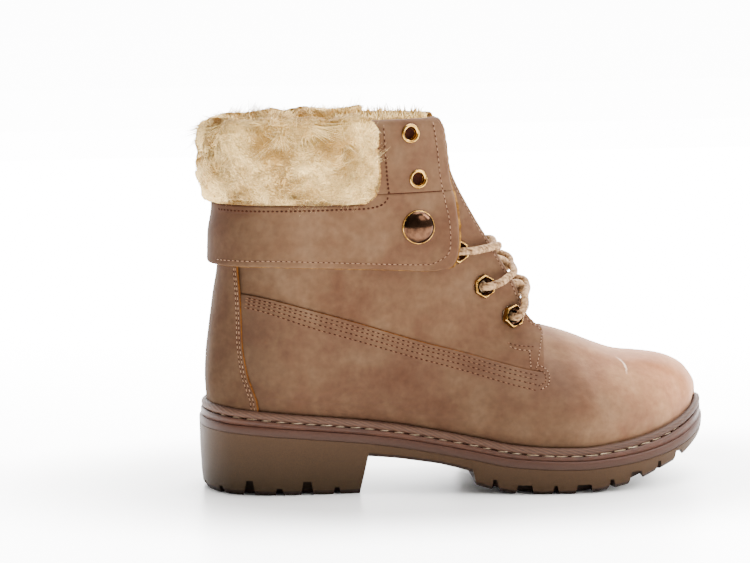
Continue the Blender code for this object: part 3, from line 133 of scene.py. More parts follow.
# sections of the last.  Each stands on a plane across the boot, from a low
# or back point to a high or front point: the shaft's lie flat, the toe's are
# upright, and those between fan out round the throat.
SECTIONS = (
    # back x, back z, front x, front z, lateral, medial, mid, back power, front power, ridge y, pinch
    (13.0, 192.3, 134.0, 192.3, 31.5, 31.5, 0.50, 2.45, 2.10, 0.0, 0.0),
    (13.4, 170.0, 137.8, 170.0, 31.5, 31.5, 0.49, 2.45, 2.10, 0.0, 0.0),
    (13.4, 145.0, 148.3, 147.5, 31.5, 31.5, 0.47, 2.45, 2.08, 0.0, 0.03),
    (12.6, 120.0, 161.5, 126.0, 31.6, 31.6, 0.45, 2.52, 2.06, 0.0, 0.08),
    (9.8, 100.0, 169.5, 114.0, 31.9, 31.7, 0.43, 2.70, 2.04, 0.0, 0.13),
    (7.4, 84.7, 174.0, 105.6, 32.4, 32.1, 0.42, 2.80, 2.05, 0.0, 0.17),
    (5.9, 70.0, 176.7, 100.2, 33.1, 32.8, 0.41, 2.85, 2.00, 0.0, 0.20),
    (5.3, 56.0, 178.4, 96.4, 33.7, 33.3, 0.41, 2.88, 2.00, 0.0, 0.23),
    (5.5, 48.0, 179.2, 93.8, 34.0, 33.5, 0.41, 2.88, 2.00, 0.0, 0.25),
    (None, None, 179.8, 91.5, 34.3, 33.6, 0.41, 2.86, 2.00, 0.0, 0.27),
    (8.0, None, 180.3, 89.8, 34.6, 33.7, 0.41, 2.84, 2.00, 0.0, 0.28),
    (13.5, None, 180.7, 88.4, 34.9, 33.8, 0.41, 2.82, 2.00, 0.2, 0.29),
    (23.0, None, 181.0, 87.2, 34.8, 33.4, 0.41, 2.78, 2.00, 0.4, 0.30),
    (41.0, None, 181.2, 86.0, 34.8, 33.0, 0.41, 2.65, 2.00, 0.6, 0.31),
    (68.0, None, 181.3, 84.8, 35.2, 32.8, 0.40, 2.50, 2.00, 0.8, 0.33),
    (98.0, None, 181.3, 83.6, 37.4, 33.8, 0.38, 2.40, 2.00, 1.0, 0.35),
    (128.0, None, 181.3, 82.5, 42.0, 37.4, 0.34, 2.30, 2.00, 1.2, 0.37),
    (154.0, None, 181.2, 81.5, 45.8, 41.2, 0.31, 2.30, 2.00, 1.4, 0.38),
    (172.0, None, 181.4, 80.5, 47.8, 43.6, 0.28, 2.30, 2.00, 1.6, 0.38),
    (184.0, None, 189.0, 78.0, 48.6, 44.8, 0.28, 2.30, 2.02, 1.8, 0.35),
    (196.5, None, 199.4, 74.4, 48.2, 44.8, 0.28, 2.30, 2.05, 2.0, 0.29),
    (209.0, None, 210.8, 70.1, 46.8, 43.8, 0.28, 2.30, 2.10, 2.2, 0.22),
    (222.0, None, 223.2, 66.4, 43.4, 41.6, 0.28, 2.30, 2.15, 2.4, 0.15),
    (234.5, None, 235.2, 64.9, 38.3, 38.2, 0.29, 2.30, 2.20, 2.6, 0.09),
    (245.0, None, 245.2, 63.0, 30.9, 32.4, 0.30, 2.30, 2.22, 2.8, 0.05),
    (253.0, None, 252.9, 60.2, 22.9, 25.8, 0.30, 2.30, 2.20, 3.0, 0.02),
    (258.8, None, 258.6, 56.6, 0.0, 0.0, 0.30, 2.30, 2.15, 3.0, 0.0),
    (262.3, None, 262.2, 52.0, 0.0, 0.0, 0.30, 2.30, 2.10, 3.0, 0.0),
    (264.3, None, 264.4, 47.6, 0.0, 0.0, 0.30, 2.30, 2.10, 3.0, 0.0),
    (None, None, 265.4, 43.4, 0.0, 0.0, 0.30, 2.30, 2.10, 3.0, 0.0),
)
HEEL_ROW = 9
THROAT_ROW = 18
TOE_ROW = len(SECTIONS) - 1
# half of the throat's opening, collar to vamp
THROAT = ((0, 14.0), (2, 12.6), (4, 10.6), (8, 9.0), (13, 8.2), (THROAT_ROW, 7.6), (TOE_ROW, 7.6))
# top edge of the vamp and lower side panel, seen from the side
PANEL_EDGE = (
    # x, z
    (0.0, 106.5), (22.9, 105.0), (34.0, 103.3), (51.9, 98.8), (84.4, 89.3), (116.1, 78.9),
    (139.3, 72.1), (162.3, 65.2), (175.4, 61.9), (200.0, 58.0),
)
# front edge of the back panel
COUNTER_EDGE = ((30.6, 36.0), (30.6, 45.7), (25.5, 63.6), (23.3, 81.9), (22.9, 102.3),
                (21.8, 119.9), (21.6, 130.0))
COUNTER_TOP = 128.0
# the folded cuff: front edge, and its lower edge
CUFF_FRONT = ((125.5, 114.0), (131.8, 118.0), (134.6, 123.0), (135.9, 134.2), (134.6, 153.0),
              (132.3, 161.0), (130.6, 179.0), (128.2, 194.0))
CUFF_LOW = ((0.0, 119.2), (22.0, 119.8), (60.0, 119.0), (99.0, 117.3), (121.0, 115.9),
            (128.0, 117.0), (134.0, 121.3))
BAND_TOP = 151.6          # upper edge of the leather band, under the fur
COLLAR = 192.0            # the shaft's places are read up to this height
STRIP_BACK = 88.5         # back edge of the front strips, under the fur
# hardware, seen from the side
EYELETS = (
    # x, z, turn
    (165.2, 88.3, 14.0), (150.1, 105.2, 2.0), (135.7, 124.5, 0.0),
)
WASHERS = ((109.0, 187.1), (112.9, 163.3))
SNAP = (113.0, 138.6)


def curve(xs, ys):
    """Smooth curve through a table's points that never overshoots them."""
    xs = np.asarray(xs, float)
    ys = np.asarray(ys, float)
    h = np.diff(xs)
    d = np.diff(ys) / h
    m = np.zeros(len(xs))
    m[0] = d[0]
    m[-1] = d[-1]
    for i in range(1, len(xs) - 1):
        if d[i - 1] * d[i] > 0:
            w1 = 2 * h[i] + h[i - 1]
            w2 = h[i] + 2 * h[i - 1]
            m[i] = (w1 + w2) / (w1 / d[i - 1] + w2 / d[i])

    def at(x):
        x = np.clip(x, xs[0], xs[-1])
        i = np.clip(np.searchsorted(xs, x, side="right") - 1, 0, len(xs) - 2)
        t = (x - xs[i]) / h[i]
        a = (1 + 2 * t) * (1 - t) ** 2
        b = t * (1 - t) ** 2
        c = t * t * (3 - 2 * t)
        e = t * t * (t - 1)
        return a * ys[i] + b * h[i] * m[i] + c * ys[i + 1] + e * h[i] * m[i + 1]
    return at


def columns(table):
    return list(zip(*table))


RIM_AT = curve(columns(RIM)[0], columns(RIM)[1])
BEAD_AT = curve(columns(RIM)[0], columns(RIM)[2])


def tread(x):
    """Height of the outsole's underside."""
    return np.interp(x, columns(TREAD)[0], columns(TREAD)[1])


# ---- sums on rows of points
def held(x):
    """A value held between 0 and 1."""
    return np.clip(x, 0, 1)


def soft(x):
    """Smooth step from 0 to 1."""
    x = held(x)
    return x * x * (3 - 2 * x)


def unit(ways):
    """Directions made one unit long."""
    return ways / np.linalg.norm(ways, axis=-1, keepdims=True)


def reach_along(points):
    """Length of a line from its start to each of its points."""
    return np.concatenate([[0], np.cumsum(np.linalg.norm(np.diff(points, axis=0), axis=1))])


def rows_at(at, known, rows):
    """Rows read between the known places of a table's rows."""
    return np.stack([np.interp(at, known, column) for column in np.transpose(rows)], 1)


# ---- outline
def closed_spline(points, steps):
    """Smooth closed curve through a table of rows, steps to each span."""
    p = np.array(points, float)
    n = len(p)
    chord = [math.dist(p[i][:2], p[(i + 1) % n][:2]) for i in range(n)]
    out = []
    for i in range(n):
        a, b = p[i], p[(i + 1) % n]
        h0, h1, h2 = chord[i - 1], chord[i], chord[(i + 1) % n]
        ta = ((a - p[i - 1]) / h0 * h1 + (b - a) / h1 * h0) / (h0 + h1)
        tb = ((b - a) / h1 * h2 + (p[(i + 2) % n] - b) / h2 * h1) / (h1 + h2)
        for k in range(steps):
            t = k / steps
            out.append((1 + 2 * t) * (1 - t) ** 2 * a + t * (1 - t) ** 2 * h1 * ta
                       + t * t * (3 - 2 * t) * b + t * t * (t - 1) * h1 * tb)
    return np.array(out)


def with_normals(ring):
    """Rows of x, y, inset and the unit normal that points inwards."""
    d = unit(np.roll(ring[:, :2], -1, 0) - np.roll(ring[:, :2], 1, 0))
    return np.hstack([ring[:, :3], np.stack([-d[:, 1], d[:, 0]], 1)])


OUTER = with_normals(closed_spline(OUTLINE, 64))
FINE = with_normals(closed_spline(OUTLINE, 16))


# ---- the last
def feather():
    """The upper's lower edge: half widths on both sides, and height, over x."""
    x = FINE[:, 0] + FINE[:, 3] * FINE[:, 2]
    y = FINE[:, 1] + FINE[:, 4] * FINE[:, 2]
    z = RIM_AT(FINE[:, 0]) + FLANGE + GAP
    back = int(np.argmin(x))
    front = int(np.argmax(x))
    order = np.arange(back, back + len(x)) % len(x)
    turn = int(np.where(order == front)[0][0])
    lat = order[:turn + 1]
    med = np.concatenate([order[turn:], order[:1]])[::-1]
    return x, y, z, lat, med


FX, FY, FZ, LAT, MED = feather()
HEEL_X = float(FX.min())
TOE_X = float(FX.max())


def feather_at(x, side):
    """Side -1 is lateral, 1 medial.  Gives y and z of the lower edge."""
    ids = LAT if side < 0 else MED
    xs = FX[ids]
    keep = np.concatenate([[True], np.diff(xs) > 1e-6])
    return [np.interp(x, xs[keep], values[ids][keep]) for values in (FY, FZ)]


def section_table():
    rows = []
    for i, row in enumerate(SECTIONS):
        row = list(row)
        if i == HEEL_ROW:
            row[0] = HEEL_X
        if i == TOE_ROW:
            row[0] = TOE_X
        if row[1] is None:
            row[1] = 0.5 * (feather_at(row[0], -1)[1] + feather_at(row[0], 1)[1])
        rows.append(row)
    return [curve(range(len(rows)), c) for c in columns(rows)]


TABLE = section_table()
ARC = 80


def section(s):
    """Points of one section from the lateral lower edge over the ridge to the
    medial lower edge, evenly along each side."""
    bx, bz, tx, tz, wl, wm, mid, nb, nt, ridge, pinch = [float(c(s)) for c in TABLE]
    height = math.hypot(tx - bx, tz - bz)
    ex, ez = (tx - bx) / height, (tz - bz) / height
    sides = []
    for side, wide in ((-1, -wl), (1, wm)):
        if s <= HEEL_ROW:
            foot, fz = ridge, bz
        else:
            foot, fz = feather_at(bx, side)
        reach = abs(foot - ridge)
        width = max(abs(wide - ridge) if wide else 0.0, reach / 0.972)
        c0 = reach / width if width > 1e-9 else 0.972
        phi0 = math.acos(min(1.0, c0 ** (nb / 2)))
        phi = np.linspace(math.pi / 2, -phi0, 241)
        power = np.where(phi >= 0, 2 / nt, 2 / nb)
        cos = held(np.cos(phi)) ** power
        sin = np.abs(np.sin(phi)) ** power
        centre = mid * height
        low = centre / (math.sin(phi0) ** (2 / nb))
        p = np.where(phi >= 0, centre + (height - centre) * sin, centre - low * sin)
        y = width * cos * np.where(phi > 0, 1 - pinch * np.sin(phi) ** 2, 1.0)
        drop = (fz - bz) * held(1 - p / max(centre, 1e-6))
        pts = np.stack([bx + ex * p, ridge + side * y, bz + ez * p + drop], 1)
        length = reach_along(pts)
        sides.append(rows_at(np.linspace(0, length[-1], ARC + 1), length, pts))
    return np.vstack([sides[0][::-1], sides[1][1:]])


STEP = 10
S_GRID = np.linspace(0, TOE_ROW, TOE_ROW * STEP + 1)
SURF = np.array([section(s) for s in S_GRID])


def even_out():
    """Even the bulge between neighbouring sections where the side is broad;
    its edges in the side view stay.  Each point moves to the plane that fits
    its neighbours best."""
    n_s = len(S_GRID)
    for part in (slice(0, ARC + 1), slice(ARC, None)):
        x, y, z = (SURF[:, part, k] for k in range(3))
        ds = np.stack([np.gradient(x, axis=0), np.gradient(z, axis=0)], 2)
        dt = np.stack([np.gradient(x, axis=1), np.gradient(z, axis=1)], 2)
        area = np.abs(ds[:, :, 0] * dt[:, :, 1] - ds[:, :, 1] * dt[:, :, 0])
        near_x, near_z, near_y, near_a = (a[::3, ::3].ravel() for a in (x, z, y, area))
        some = (slice(None, None, 2), slice(None, None, 2))
        qx, qz, qy = (a[some] for a in (x, z, y))
        move = np.zeros(qx.shape)
        for i in range(STEP, len(qx)):
            dx = (near_x[None] - qx[i][:, None]) / EVEN
            dz = (near_z[None] - qz[i][:, None]) / EVEN
            w = np.exp(-0.5 * (dx * dx + dz * dz)) * near_a[None]
            base = (w, w * dx, w * dz)
            left = np.array([[b.sum(1), (b * dx).sum(1), (b * dz).sum(1)] for b in base])
            right = np.array([(b * near_y[None]).sum(1) for b in base])
            fit = np.linalg.solve(np.moveaxis(left, 2, 0) + np.eye(3) * 1e-6, right.T[:, :, None])
            move[i] = fit[:, 0, 0] - qy[i]
        rows = np.stack([np.interp(np.arange(n_s), np.arange(0, n_s, 2), move[:, j])
                         for j in range(move.shape[1])], 1)
        full = np.stack([np.interp(np.arange(ARC + 1), np.arange(0, ARC + 1, 2), r) for r in rows])
        y += full * soft((np.abs(y) - 10.0) / 12.0) * held((S_GRID - 3) / 2)[:, None]


LOW_PART = 66.0           # no point above this is drawn in


def stand_upright():
    """Draw the lowest part of the last in to its edge, so that it rises
    straight out of the welt before it bulges."""
    edge = OUTER[:, :2] + OUTER[:, 3:5] * OUTER[:, 2:3]
    foot = RIM_AT(OUTER[:, 0]) + FLANGE + GAP
    flat = SURF.reshape(-1, 3)
    low = np.where(flat[:, 2] < LOW_PART)[0]
    for chunk in np.array_split(low, 60):
        pts = flat[chunk]
        near = np.argmin((pts[:, None, 0] - edge[None, :, 0]) ** 2
                         + (pts[:, None, 1] - edge[None, :, 1]) ** 2, axis=1)
        inward = OUTER[near, 3:5]
        out = -((pts[:, :2] - edge[near]) * inward).sum(1)
        flat[chunk, :2] += inward * (out * (1 - soft((pts[:, 2] - foot[near]) / RISE)))[:, None]


even_out()
stand_upright()


def surface_normals():
    """Outward normals on the fine grid, closed round the back of the shaft."""
    ds = np.gradient(SURF, axis=0)
    dt = np.gradient(SURF, axis=1)
    heel = HEEL_ROW * STEP
    wrap = SURF[:heel + 1, 1] - SURF[:heel + 1, -2]
    dt[:heel + 1, 0] = wrap / 2
    dt[:heel + 1, -1] = wrap / 2
    n = np.cross(ds, dt)
    n[-1] = n[-2]
    size = np.linalg.norm(n, axis=2)
    n /= np.maximum(size, 1e-12)[:, :, None]
    n[-1] = unit(n[-1] + n[-1][::-1])
    if n[0, ARC, 0] < 0:
        n = -n
    return n


NORM = surface_normals()


def surface(s, t, off=0.0):
    """Points and outward directions at sections s and places t (-1 lateral edge,
    0 ridge, 1 medial edge), off millimetres out of the surface."""
    i = np.clip(np.asarray(s, float) * STEP, 0, len(S_GRID) - 1.001)
    j = np.clip((np.asarray(t, float) + 1) * ARC, 0, 2 * ARC - 0.001)
    i, j, off = np.broadcast_arrays(i, j, np.asarray(off, float))
    i0, j0 = i.astype(int), j.astype(int)
    a, b = (i - i0)[..., None], (j - j0)[..., None]
    found = []
    for field in (SURF, NORM):
        found.append((field[i0, j0] * (1 - a) + field[i0 + 1, j0] * a) * (1 - b)
                     + (field[i0, j0 + 1] * (1 - a) + field[i0 + 1, j0 + 1] * a) * b)
    p, n = found[0], unit(found[1])
    return p + n * off[..., None], n


def half(side):
    return slice(ARC, None) if side > 0 else slice(0, ARC + 1)


def short_step(miss, by_s, by_t):
    """Steps in s and t that make up for what is missing, held short."""
    det = by_s[0] * by_t[1] - by_s[1] * by_t[0]
    det = np.where(np.abs(det) < 1e-6, 1e9, det)
    return (np.clip((miss[0] * by_t[1] - miss[1] * by_t[0]) / det, -0.5, 0.5),
            np.clip((miss[1] * by_s[0] - miss[0] * by_s[1]) / det, -0.1, 0.1))


def find(x, z, side):
    """Sections and places of the surface points seen at x, z from one side."""
    x, z = np.atleast_1d(np.asarray(x, float)), np.atleast_1d(np.asarray(z, float))
    x, z = np.broadcast_arrays(x, z)
    block = SURF[:, half(side)]
    s, t = np.empty(len(x)), np.empty(len(x))
    for k in range(len(x)):
        d = (block[:, :, 0] - x[k]) ** 2 + (block[:, :, 2] - z[k]) ** 2
        i, j = np.unravel_index(int(np.argmin(d)), d.shape)
        s[k], t[k] = i / STEP, (j / ARC if side > 0 else j / ARC - 1)
    e = 0.02
    for _ in range(8):
        p = surface(s, t)[0]
        ps = (surface(s + e, t)[0] - surface(s - e, t)[0]) / (2 * e)
        pt = (surface(s, t + e)[0] - surface(s, t - e)[0]) / (2 * e)
        move_s, move_t = short_step((x - p[:, 0], z - p[:, 2]), ps.T[::2], pt.T[::2])
        s, t = np.clip(s + move_s, 0, TOE_ROW), np.clip(t + move_t, -1, 1)
    return s, t


THROAT_AT = curve(*columns(THROAT))
UNDER_BACK = 15.0         # the quarters and the panel run this far under the back panel
PANEL_Z = curve(*columns(PANEL_EDGE))


def first_place(values, side):
    """Place from the ridge down at which each row of values first turns positive."""
    out = np.full(len(values), np.nan)
    for i, row in enumerate(values):
        line = row[ARC:] if side > 0 else row[ARC::-1]
        hit = np.where((line[1:] >= 0) & (line[:-1] < 0))[0]
        if len(hit):
            k = hit[0]
            out[i] = side * (k + line[k] / (line[k] - line[k + 1])) / ARC
    return out


def edge_tables():
    """Throat edge, panel edge and arc length of each side, over the sections."""
    ridge = TABLE[9](S_GRID)[:, None]
    gap = THROAT_AT(S_GRID)[:, None]
    out = {}
    for side, _ in SIDES:
        throat = first_place(np.abs(SURF[:, :, 1] - ridge) - gap, side)
        throat = np.where(np.isnan(throat), side * 0.1, throat)
        line = first_place(PANEL_Z(SURF[:, :, 0]) - SURF[:, :, 2], side)
        back = first_place(UNDER_BACK - SURF[:, :, 0], side)
        back = np.where(np.isnan(back), side * 0.999, back)
        over = np.isnan(line) & (S_GRID < 9)
        line = np.where(over | (np.abs(line) > np.abs(back)), back, line)
        stop = THROAT_ROW * STEP
        line[stop:] = line[stop]
        row = SURF[:, half(side)]
        length = np.linalg.norm(np.diff(row, axis=1), axis=2).sum(1)
        out[side] = (throat, line, length)
    return out


EDGES = edge_tables()


def throat_edge(s, side):
    return np.interp(s, S_GRID, EDGES[side][0])


def panel_edge(s, side):
    return np.interp(s, S_GRID, EDGES[side][1])


def arc(s, side):
    """Length of one side of a section, over a full turn of t."""
    return np.interp(s, S_GRID, EDGES[side][2])


def panel_level(s, t):
    """Height of the panel over the last: none under the back panel, and none
    behind the welt's bead."""
    p = surface(s, t)[0]
    lat, med = [feather_at(p[..., 0], side)[1] for side, _ in SIDES]
    over = p[..., 2] - np.where(np.asarray(t) < 0, lat, med)
    return PANEL * soft((p[..., 0] - 10.0) / 8.0) * held((over - 4.0) / 8.0)


def facing_lift(s, share):
    """Height of the facing's front edge over the vamp's level, fading back and
    down.  share is 0 at the throat, 1 at the panel's edge."""
    rise = held((s - 9.0) / 8.5)
    return rise * (FACING + (PANEL - FACING) * np.minimum(share * 1.15, 1.0))


def row_at(z, t):
    """Section whose point at place t lies at height z."""
    rows = HEEL_ROW * STEP + 1
    j = np.clip((t + 1) * ARC, 0, 2 * ARC - 0.001)
    j0 = j.astype(int)
    col = SURF[:rows, j0, 2] * (1 - (j - j0)) + SURF[:rows, j0 + 1, 2] * (j - j0)
    return np.array([np.interp(-zz, -c, S_GRID[:rows]) for zz, c in zip(z, col.T)])


def shell(z, q, off=0.0):
    """Points and outward directions round the shaft at height z and place q: 0 at
    the back, -1 and 1 at the ridge.  Over the collar it goes straight up."""
    z, q, off = [a.astype(float) for a in np.broadcast_arrays(z, q, off)]
    t = (1.0 - np.abs(q)) * np.where(q >= 0, 1, -1)
    p, n = surface(row_at(z.ravel(), t.ravel()).reshape(z.shape), t, off)
    p[..., 2] = z
    return p, n


def place_at(x, z, side, off=0.0):
    """Place q on one side where the shaft, off out of its surface, lies at x."""
    qs = np.linspace(0.0, 0.99, 60)
    z = np.atleast_1d(np.asarray(z, float))
    levels = np.linspace(z.min() - 1, z.max() + 1, 12)
    xs = np.array([shell(level, side * qs, off)[0][:, 0] for level in levels])
    found = []
    for zz, want in zip(z, np.broadcast_to(x, z.shape)):
        low = np.clip(np.searchsorted(levels, zz) - 1, 0, len(levels) - 2)
        f = (zz - levels[low]) / (levels[low + 1] - levels[low])
        found.append(np.interp(want, xs[low] * (1 - f) + xs[low + 1] * f, qs))
    return np.array(found)


WAVES = 14                # waves that are added up in a random field


def waves(seed, points, size):
    """A smooth random field over points, about one unit strong."""
    rng = np.random.default_rng(seed)
    way = rng.normal(size=(WAVES, 3))
    way *= (2 * math.pi / size / np.linalg.norm(way, axis=1) * rng.uniform(0.6, 1.4, WAVES))[:, None]
    shift = rng.uniform(0, 2 * math.pi, WAVES)
    return np.sin(np.asarray(points) @ way.T + shift).sum(-1) * math.sqrt(2 / WAVES)


# soft troughs and ridges of the leather: side, depth, half width, then x, z along each
CREASES = (
    (-1, -0.55, 4.5, ((158, 74.5), (165, 73.0), (172, 71.0), (176, 69.0))),
    (-1, 0.50, 3.0, ((156, 79.0), (163, 77.0), (171, 75.0), (178, 74.5))),
    (-1, 0.35, 6.0, ((140, 82.0), (150, 79.0), (160, 76.0))),
    (-1, -0.30, 7.0, ((120, 96.0), (136, 90.0), (152, 82.0))),
    (-1, 0.40, 5.0, ((146, 128.0), (153, 118.0), (160, 108.0))),
    (-1, 0.32, 6.0, ((60, 112.0), (84, 107.0), (110, 106.0))),
    (-1, -0.28, 8.0, ((50, 74.0), (80, 68.0), (112, 56.0))),
    (-1, 0.26, 7.0, ((90, 60.0), (120, 52.0), (150, 42.0))),
    (-1, 0.34, 5.0, ((186, 70.0), (192, 58.0), (196, 46.0))),
    (-1, 0.30, 4.0, ((200, 68.0), (207, 56.0), (211, 44.0))),
    (-1, -0.30, 5.0, ((193, 70.0), (200, 58.0), (204, 44.0))),
    (1, 0.36, 5.0, ((150, 84.0), (162, 78.0), (174, 70.0))),
    (1, -0.34, 6.0, ((120, 98.0), (138, 90.0), (156, 82.0))),
    (1, 0.34, 5.0, ((186, 70.0), (193, 58.0), (198, 44.0))),
    (1, 0.28, 4.0, ((200, 66.0), (208, 54.0), (213, 42.0))),
    (1, 0.30, 7.0, ((56, 110.0), (86, 104.0), (116, 100.0))),
    (1, -0.26, 8.0, ((52, 70.0), (84, 64.0), (116, 52.0))),
)


def near(points, line):
    """Distance in side view from each point to a line of x, z places."""
    best = np.full(len(points), 1e9)
    for (x0, z0), (x1, z1) in zip(line, line[1:]):
        dx, dz = x1 - x0, z1 - z0
        f = held(((points[:, 0] - x0) * dx + (points[:, 2] - z0) * dz) / (dx * dx + dz * dz))
        best = np.minimum(best, np.hypot(points[:, 0] - x0 - f * dx, points[:, 2] - z0 - f * dz))
    return best


def upper_relief(points):
    """Soft waves and creases of the leather, in millimetres out of its face."""
    out = 0.20 * waves(3, points, 64.0) + 0.09 * waves(4, points, 26.0)
    near_sole = held((points[:, 2] - RIM_AT(points[:, 0]) - 8.0) / 12.0)
    for side, depth, width, line in CREASES:
        on = held(points[:, 1] * side / 6.0)
        out = out - depth * on * np.exp(-(near(points, line) / width) ** 2)
    return out * near_sole


def leather_level(s, t):
    """Height of the upper's outer face over the last, without its relief."""
    edge = np.where(t > 0, throat_edge(s, 1), throat_edge(s, -1))
    line = np.where(t > 0, panel_edge(s, 1), panel_edge(s, -1))
    share = held((t - edge) / (line - edge))
    lower = (np.abs(t) >= np.abs(line)) | (s > THROAT_ROW + 0.2)
    return np.where(lower, panel_level(s, t), facing_lift(s, share))


def leather(s, t):
    """Points on the upper's finished face and the directions out of it."""
    p, n = surface(s, t)
    return p + n * (leather_level(s, t) + upper_relief(p))[:, None], n


# ---- making pieces
def rest(points):
    """Boot millimetres to the frame's metres."""
    return (np.asarray(points, float) - (X_MID, Y_MID, 0.0)) * MM


def boot_mm(points):
    """The frame's metres to boot millimetres."""
    return np.asarray(points) / MM + (X_MID, Y_MID, 0.0)


def stand(name, data):
    """A new object of a mesh or a lamp, in the scene."""
    obj = bpy.data.objects.new(name, data)
    bpy.context.scene.collection.objects.link(obj)
    return obj


def place_mesh(name, mesh, mats, smooth=True):
    """An object of the mesh that rides on the boot, with its finishes."""
    for mat in mats:
        mesh.materials.append(mat)
    mesh.polygons.foreach_set("use_smooth", [smooth] * len(mesh.polygons))
    obj = stand(name, mesh)
    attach(obj, "root")
    return obj


def face_outwards(bm):
    bmesh.ops.recalc_face_normals(bm, faces=bm.faces)


def finish_piece(name, bm, mats, replaces=(), smooth=True):
    """Make the piece of a bmesh and name what it stands for."""
    mesh = bpy.data.meshes.new(name)
    bm.to_mesh(mesh)
    bm.free()
    obj = place_mesh(name, mesh, mats, smooth)
    if replaces:
        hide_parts(*replaces)
    return obj


def lay(nu, nv, shape, drop=None, outward=None, edge=None):
    """A bmesh of nu by nv cells laid where shape(u, v) says; drop(u, v) picks the
    cells to leave out, outward(points) the direction that its faces look, and
    edge(u, v) the cells that show the second material."""
    bm = bmesh.new()
    bmesh.ops.create_grid(bm, x_segments=nu, y_segments=nv, size=1.0)
    u, v = (np.array([vert.co[:2] for vert in bm.verts]).T + 1) / 2
    cells = (np.array([face.calc_center_median()[:2] for face in bm.faces]).T + 1) / 2
    gone = np.where(drop(*cells))[0] if drop else ()
    if edge:
        for face, cut in zip(bm.faces, edge(*cells)):
            face.material_index = int(cut)
    for vert, p in zip(bm.verts, rest(shape(u, v))):
        vert.co = p
    if len(gone):
        bm.faces.ensure_lookup_table()
        bmesh.ops.delete(bm, geom=[bm.faces[k] for k in gone], context="FACES")
        bmesh.ops.delete(bm, geom=[vert for vert in bm.verts if not vert.link_faces], context="VERTS")
    bmesh.ops.remove_doubles(bm, verts=bm.verts, dist=0.00001)
    if outward is not None:
        bm.normal_update()
        faces = list(bm.faces)[::max(1, len(bm.faces) // 400)]
        ways = outward(boot_mm([f.calc_center_median()[:] for f in faces]))
        if sum(f.normal.dot(Vector(w)) for f, w in zip(faces, ways)) < 0:
            bmesh.ops.reverse_faces(bm, faces=bm.faces)
    return bm


def from_axis(points):
    """Directions away from the boot's middle line: up the shaft, and along the foot."""
    x, y, z = points.T
    shaft = z > 90
    middle = np.stack([np.where(shaft, 85.0, np.clip(x, 60, 215)), 0 * y, np.where(shaft, z, 45.0)], 1)
    return points - middle


def thicken(obj, thickness, rim=0):
    """Give a sheet its thickness inwards; rim is the material slot of its cut edges."""
    mod = obj.modifiers.new("thickness", "SOLIDIFY")
    mod.thickness = thickness * MM
    mod.offset = -1.0
    mod.use_even_offset = False
    mod.material_offset_rim = rim
    return obj


def rounded(obj, width, segments=2, angle=50.0):
    mod = obj.modifiers.new("edges", "BEVEL")
    mod.width = width * MM
    mod.segments = segments
    mod.limit_method = "ANGLE"
    mod.angle_limit = math.radians(angle)
    return obj


# ---- finishes
def tone(r, g, b):
    """A linear colour from a colour chart's 0 to 255 values."""
    return tuple((c / 255) ** 2.2 for c in (r, g, b)) + (1.0,)


def add(tree, kind, inputs=None, **settings):
    """A node of one kind; inputs gives a value or another node's output by socket."""
    node = tree.nodes.new("ShaderNode" + kind)
    for key, value in settings.items():
        setattr(node, key, value)
    for key, value in (inputs or {}).items():
        socket = node.inputs[key]
        if isinstance(value, bpy.types.NodeSocket):
            tree.links.new(value, socket)
        else:
            socket.default_value = value
    return node


def ramp(tree, value, stops):
    """A value spread over colours or greys: stops are (place, colour)."""
    node = add(tree, "ValToRGB", {"Fac": value})
    band = node.color_ramp
    band.elements[0].position, band.elements[0].color = stops[0]
    band.elements[1].position, band.elements[1].color = stops[-1]
    for place, colour in stops[1:-1]:
        band.elements.new(place).color = colour
    return node.outputs["Color"]


def grey(v):
    return (v, v, v, 1.0)


def noise(tree, scale, detail, rough=0.5, swirl=0.0):
    """Noise over the piece's own coordinates."""
    place = add(tree, "TexCoord").outputs["Object"]
    return add(tree, "TexNoise", {"Vector": place, "Scale": scale, "Detail": detail, "Roughness": rough,
                                  "Distortion": swirl}).outputs["Fac"]


def sums(tree, operation, *values):
    """A Math node's result."""
    return add(tree, "Math", dict(enumerate(values)), operation=operation).outputs[0]


def spread(tree, value, start, end, low=0.0, high=1.0):
    """A value mapped from start and end to low and high."""
    return add(tree, "MapRange", {"Value": value, "From Min": start, "From Max": end, "To Min": low,
                                  "To Max": high}).outputs[0]


def times(tree, colour, other):
    """A colour multiplied by another or by a value."""
    return add(tree, "Mix", {0: 1.0, 6: colour, 7: other}, data_type="RGBA",
               blend_type="MULTIPLY").outputs[2]


def group(name, given, results):
    """An empty node group with its inputs (name, kind, value) and its value outputs."""
    tree = bpy.data.node_groups.new(name, "ShaderNodeTree")
    for label, kind, value in given:
        socket = tree.interface.new_socket(name=label, in_out="INPUT", socket_type="NodeSocket" + kind)
        socket.default_value = value
    for label in results:
        tree.interface.new_socket(name=label, in_out="OUTPUT", socket_type="NodeSocketFloat")
    return tree, tree.nodes.new("NodeGroupInput").outputs, tree.nodes.new("NodeGroupOutput").inputs


def make_nap_group():
    """Mottled nap: broad clouds, small clouds, and the fine nap's height."""
    tree, given, out = group("mottled_nap", (("Broad", "Float", 34.0), ("Fine", "Float", 1500.0)),
                             ("Cloud", "Speck", "Height"))
    broad = noise(tree, given["Broad"], 3.0, 0.55, 0.6)
    small = noise(tree, sums(tree, "MULTIPLY", given["Broad"], 3.4), 4.0, 0.6, 0.3)
    speck = noise(tree, sums(tree, "MULTIPLY", given["Fine"], 0.22), 2.0)
    fine = noise(tree, given["Fine"], 3.0, 0.65)
    cloud = sums(tree, "MULTIPLY_ADD", broad, 0.62, sums(tree, "MULTIPLY", small, 0.38))
    tree.links.new(cloud, out["Cloud"])
    tree.links.new(speck, out["Speck"])
    tree.links.new(sums(tree, "MULTIPLY_ADD", fine, 0.5, speck), out["Height"])
    return tree


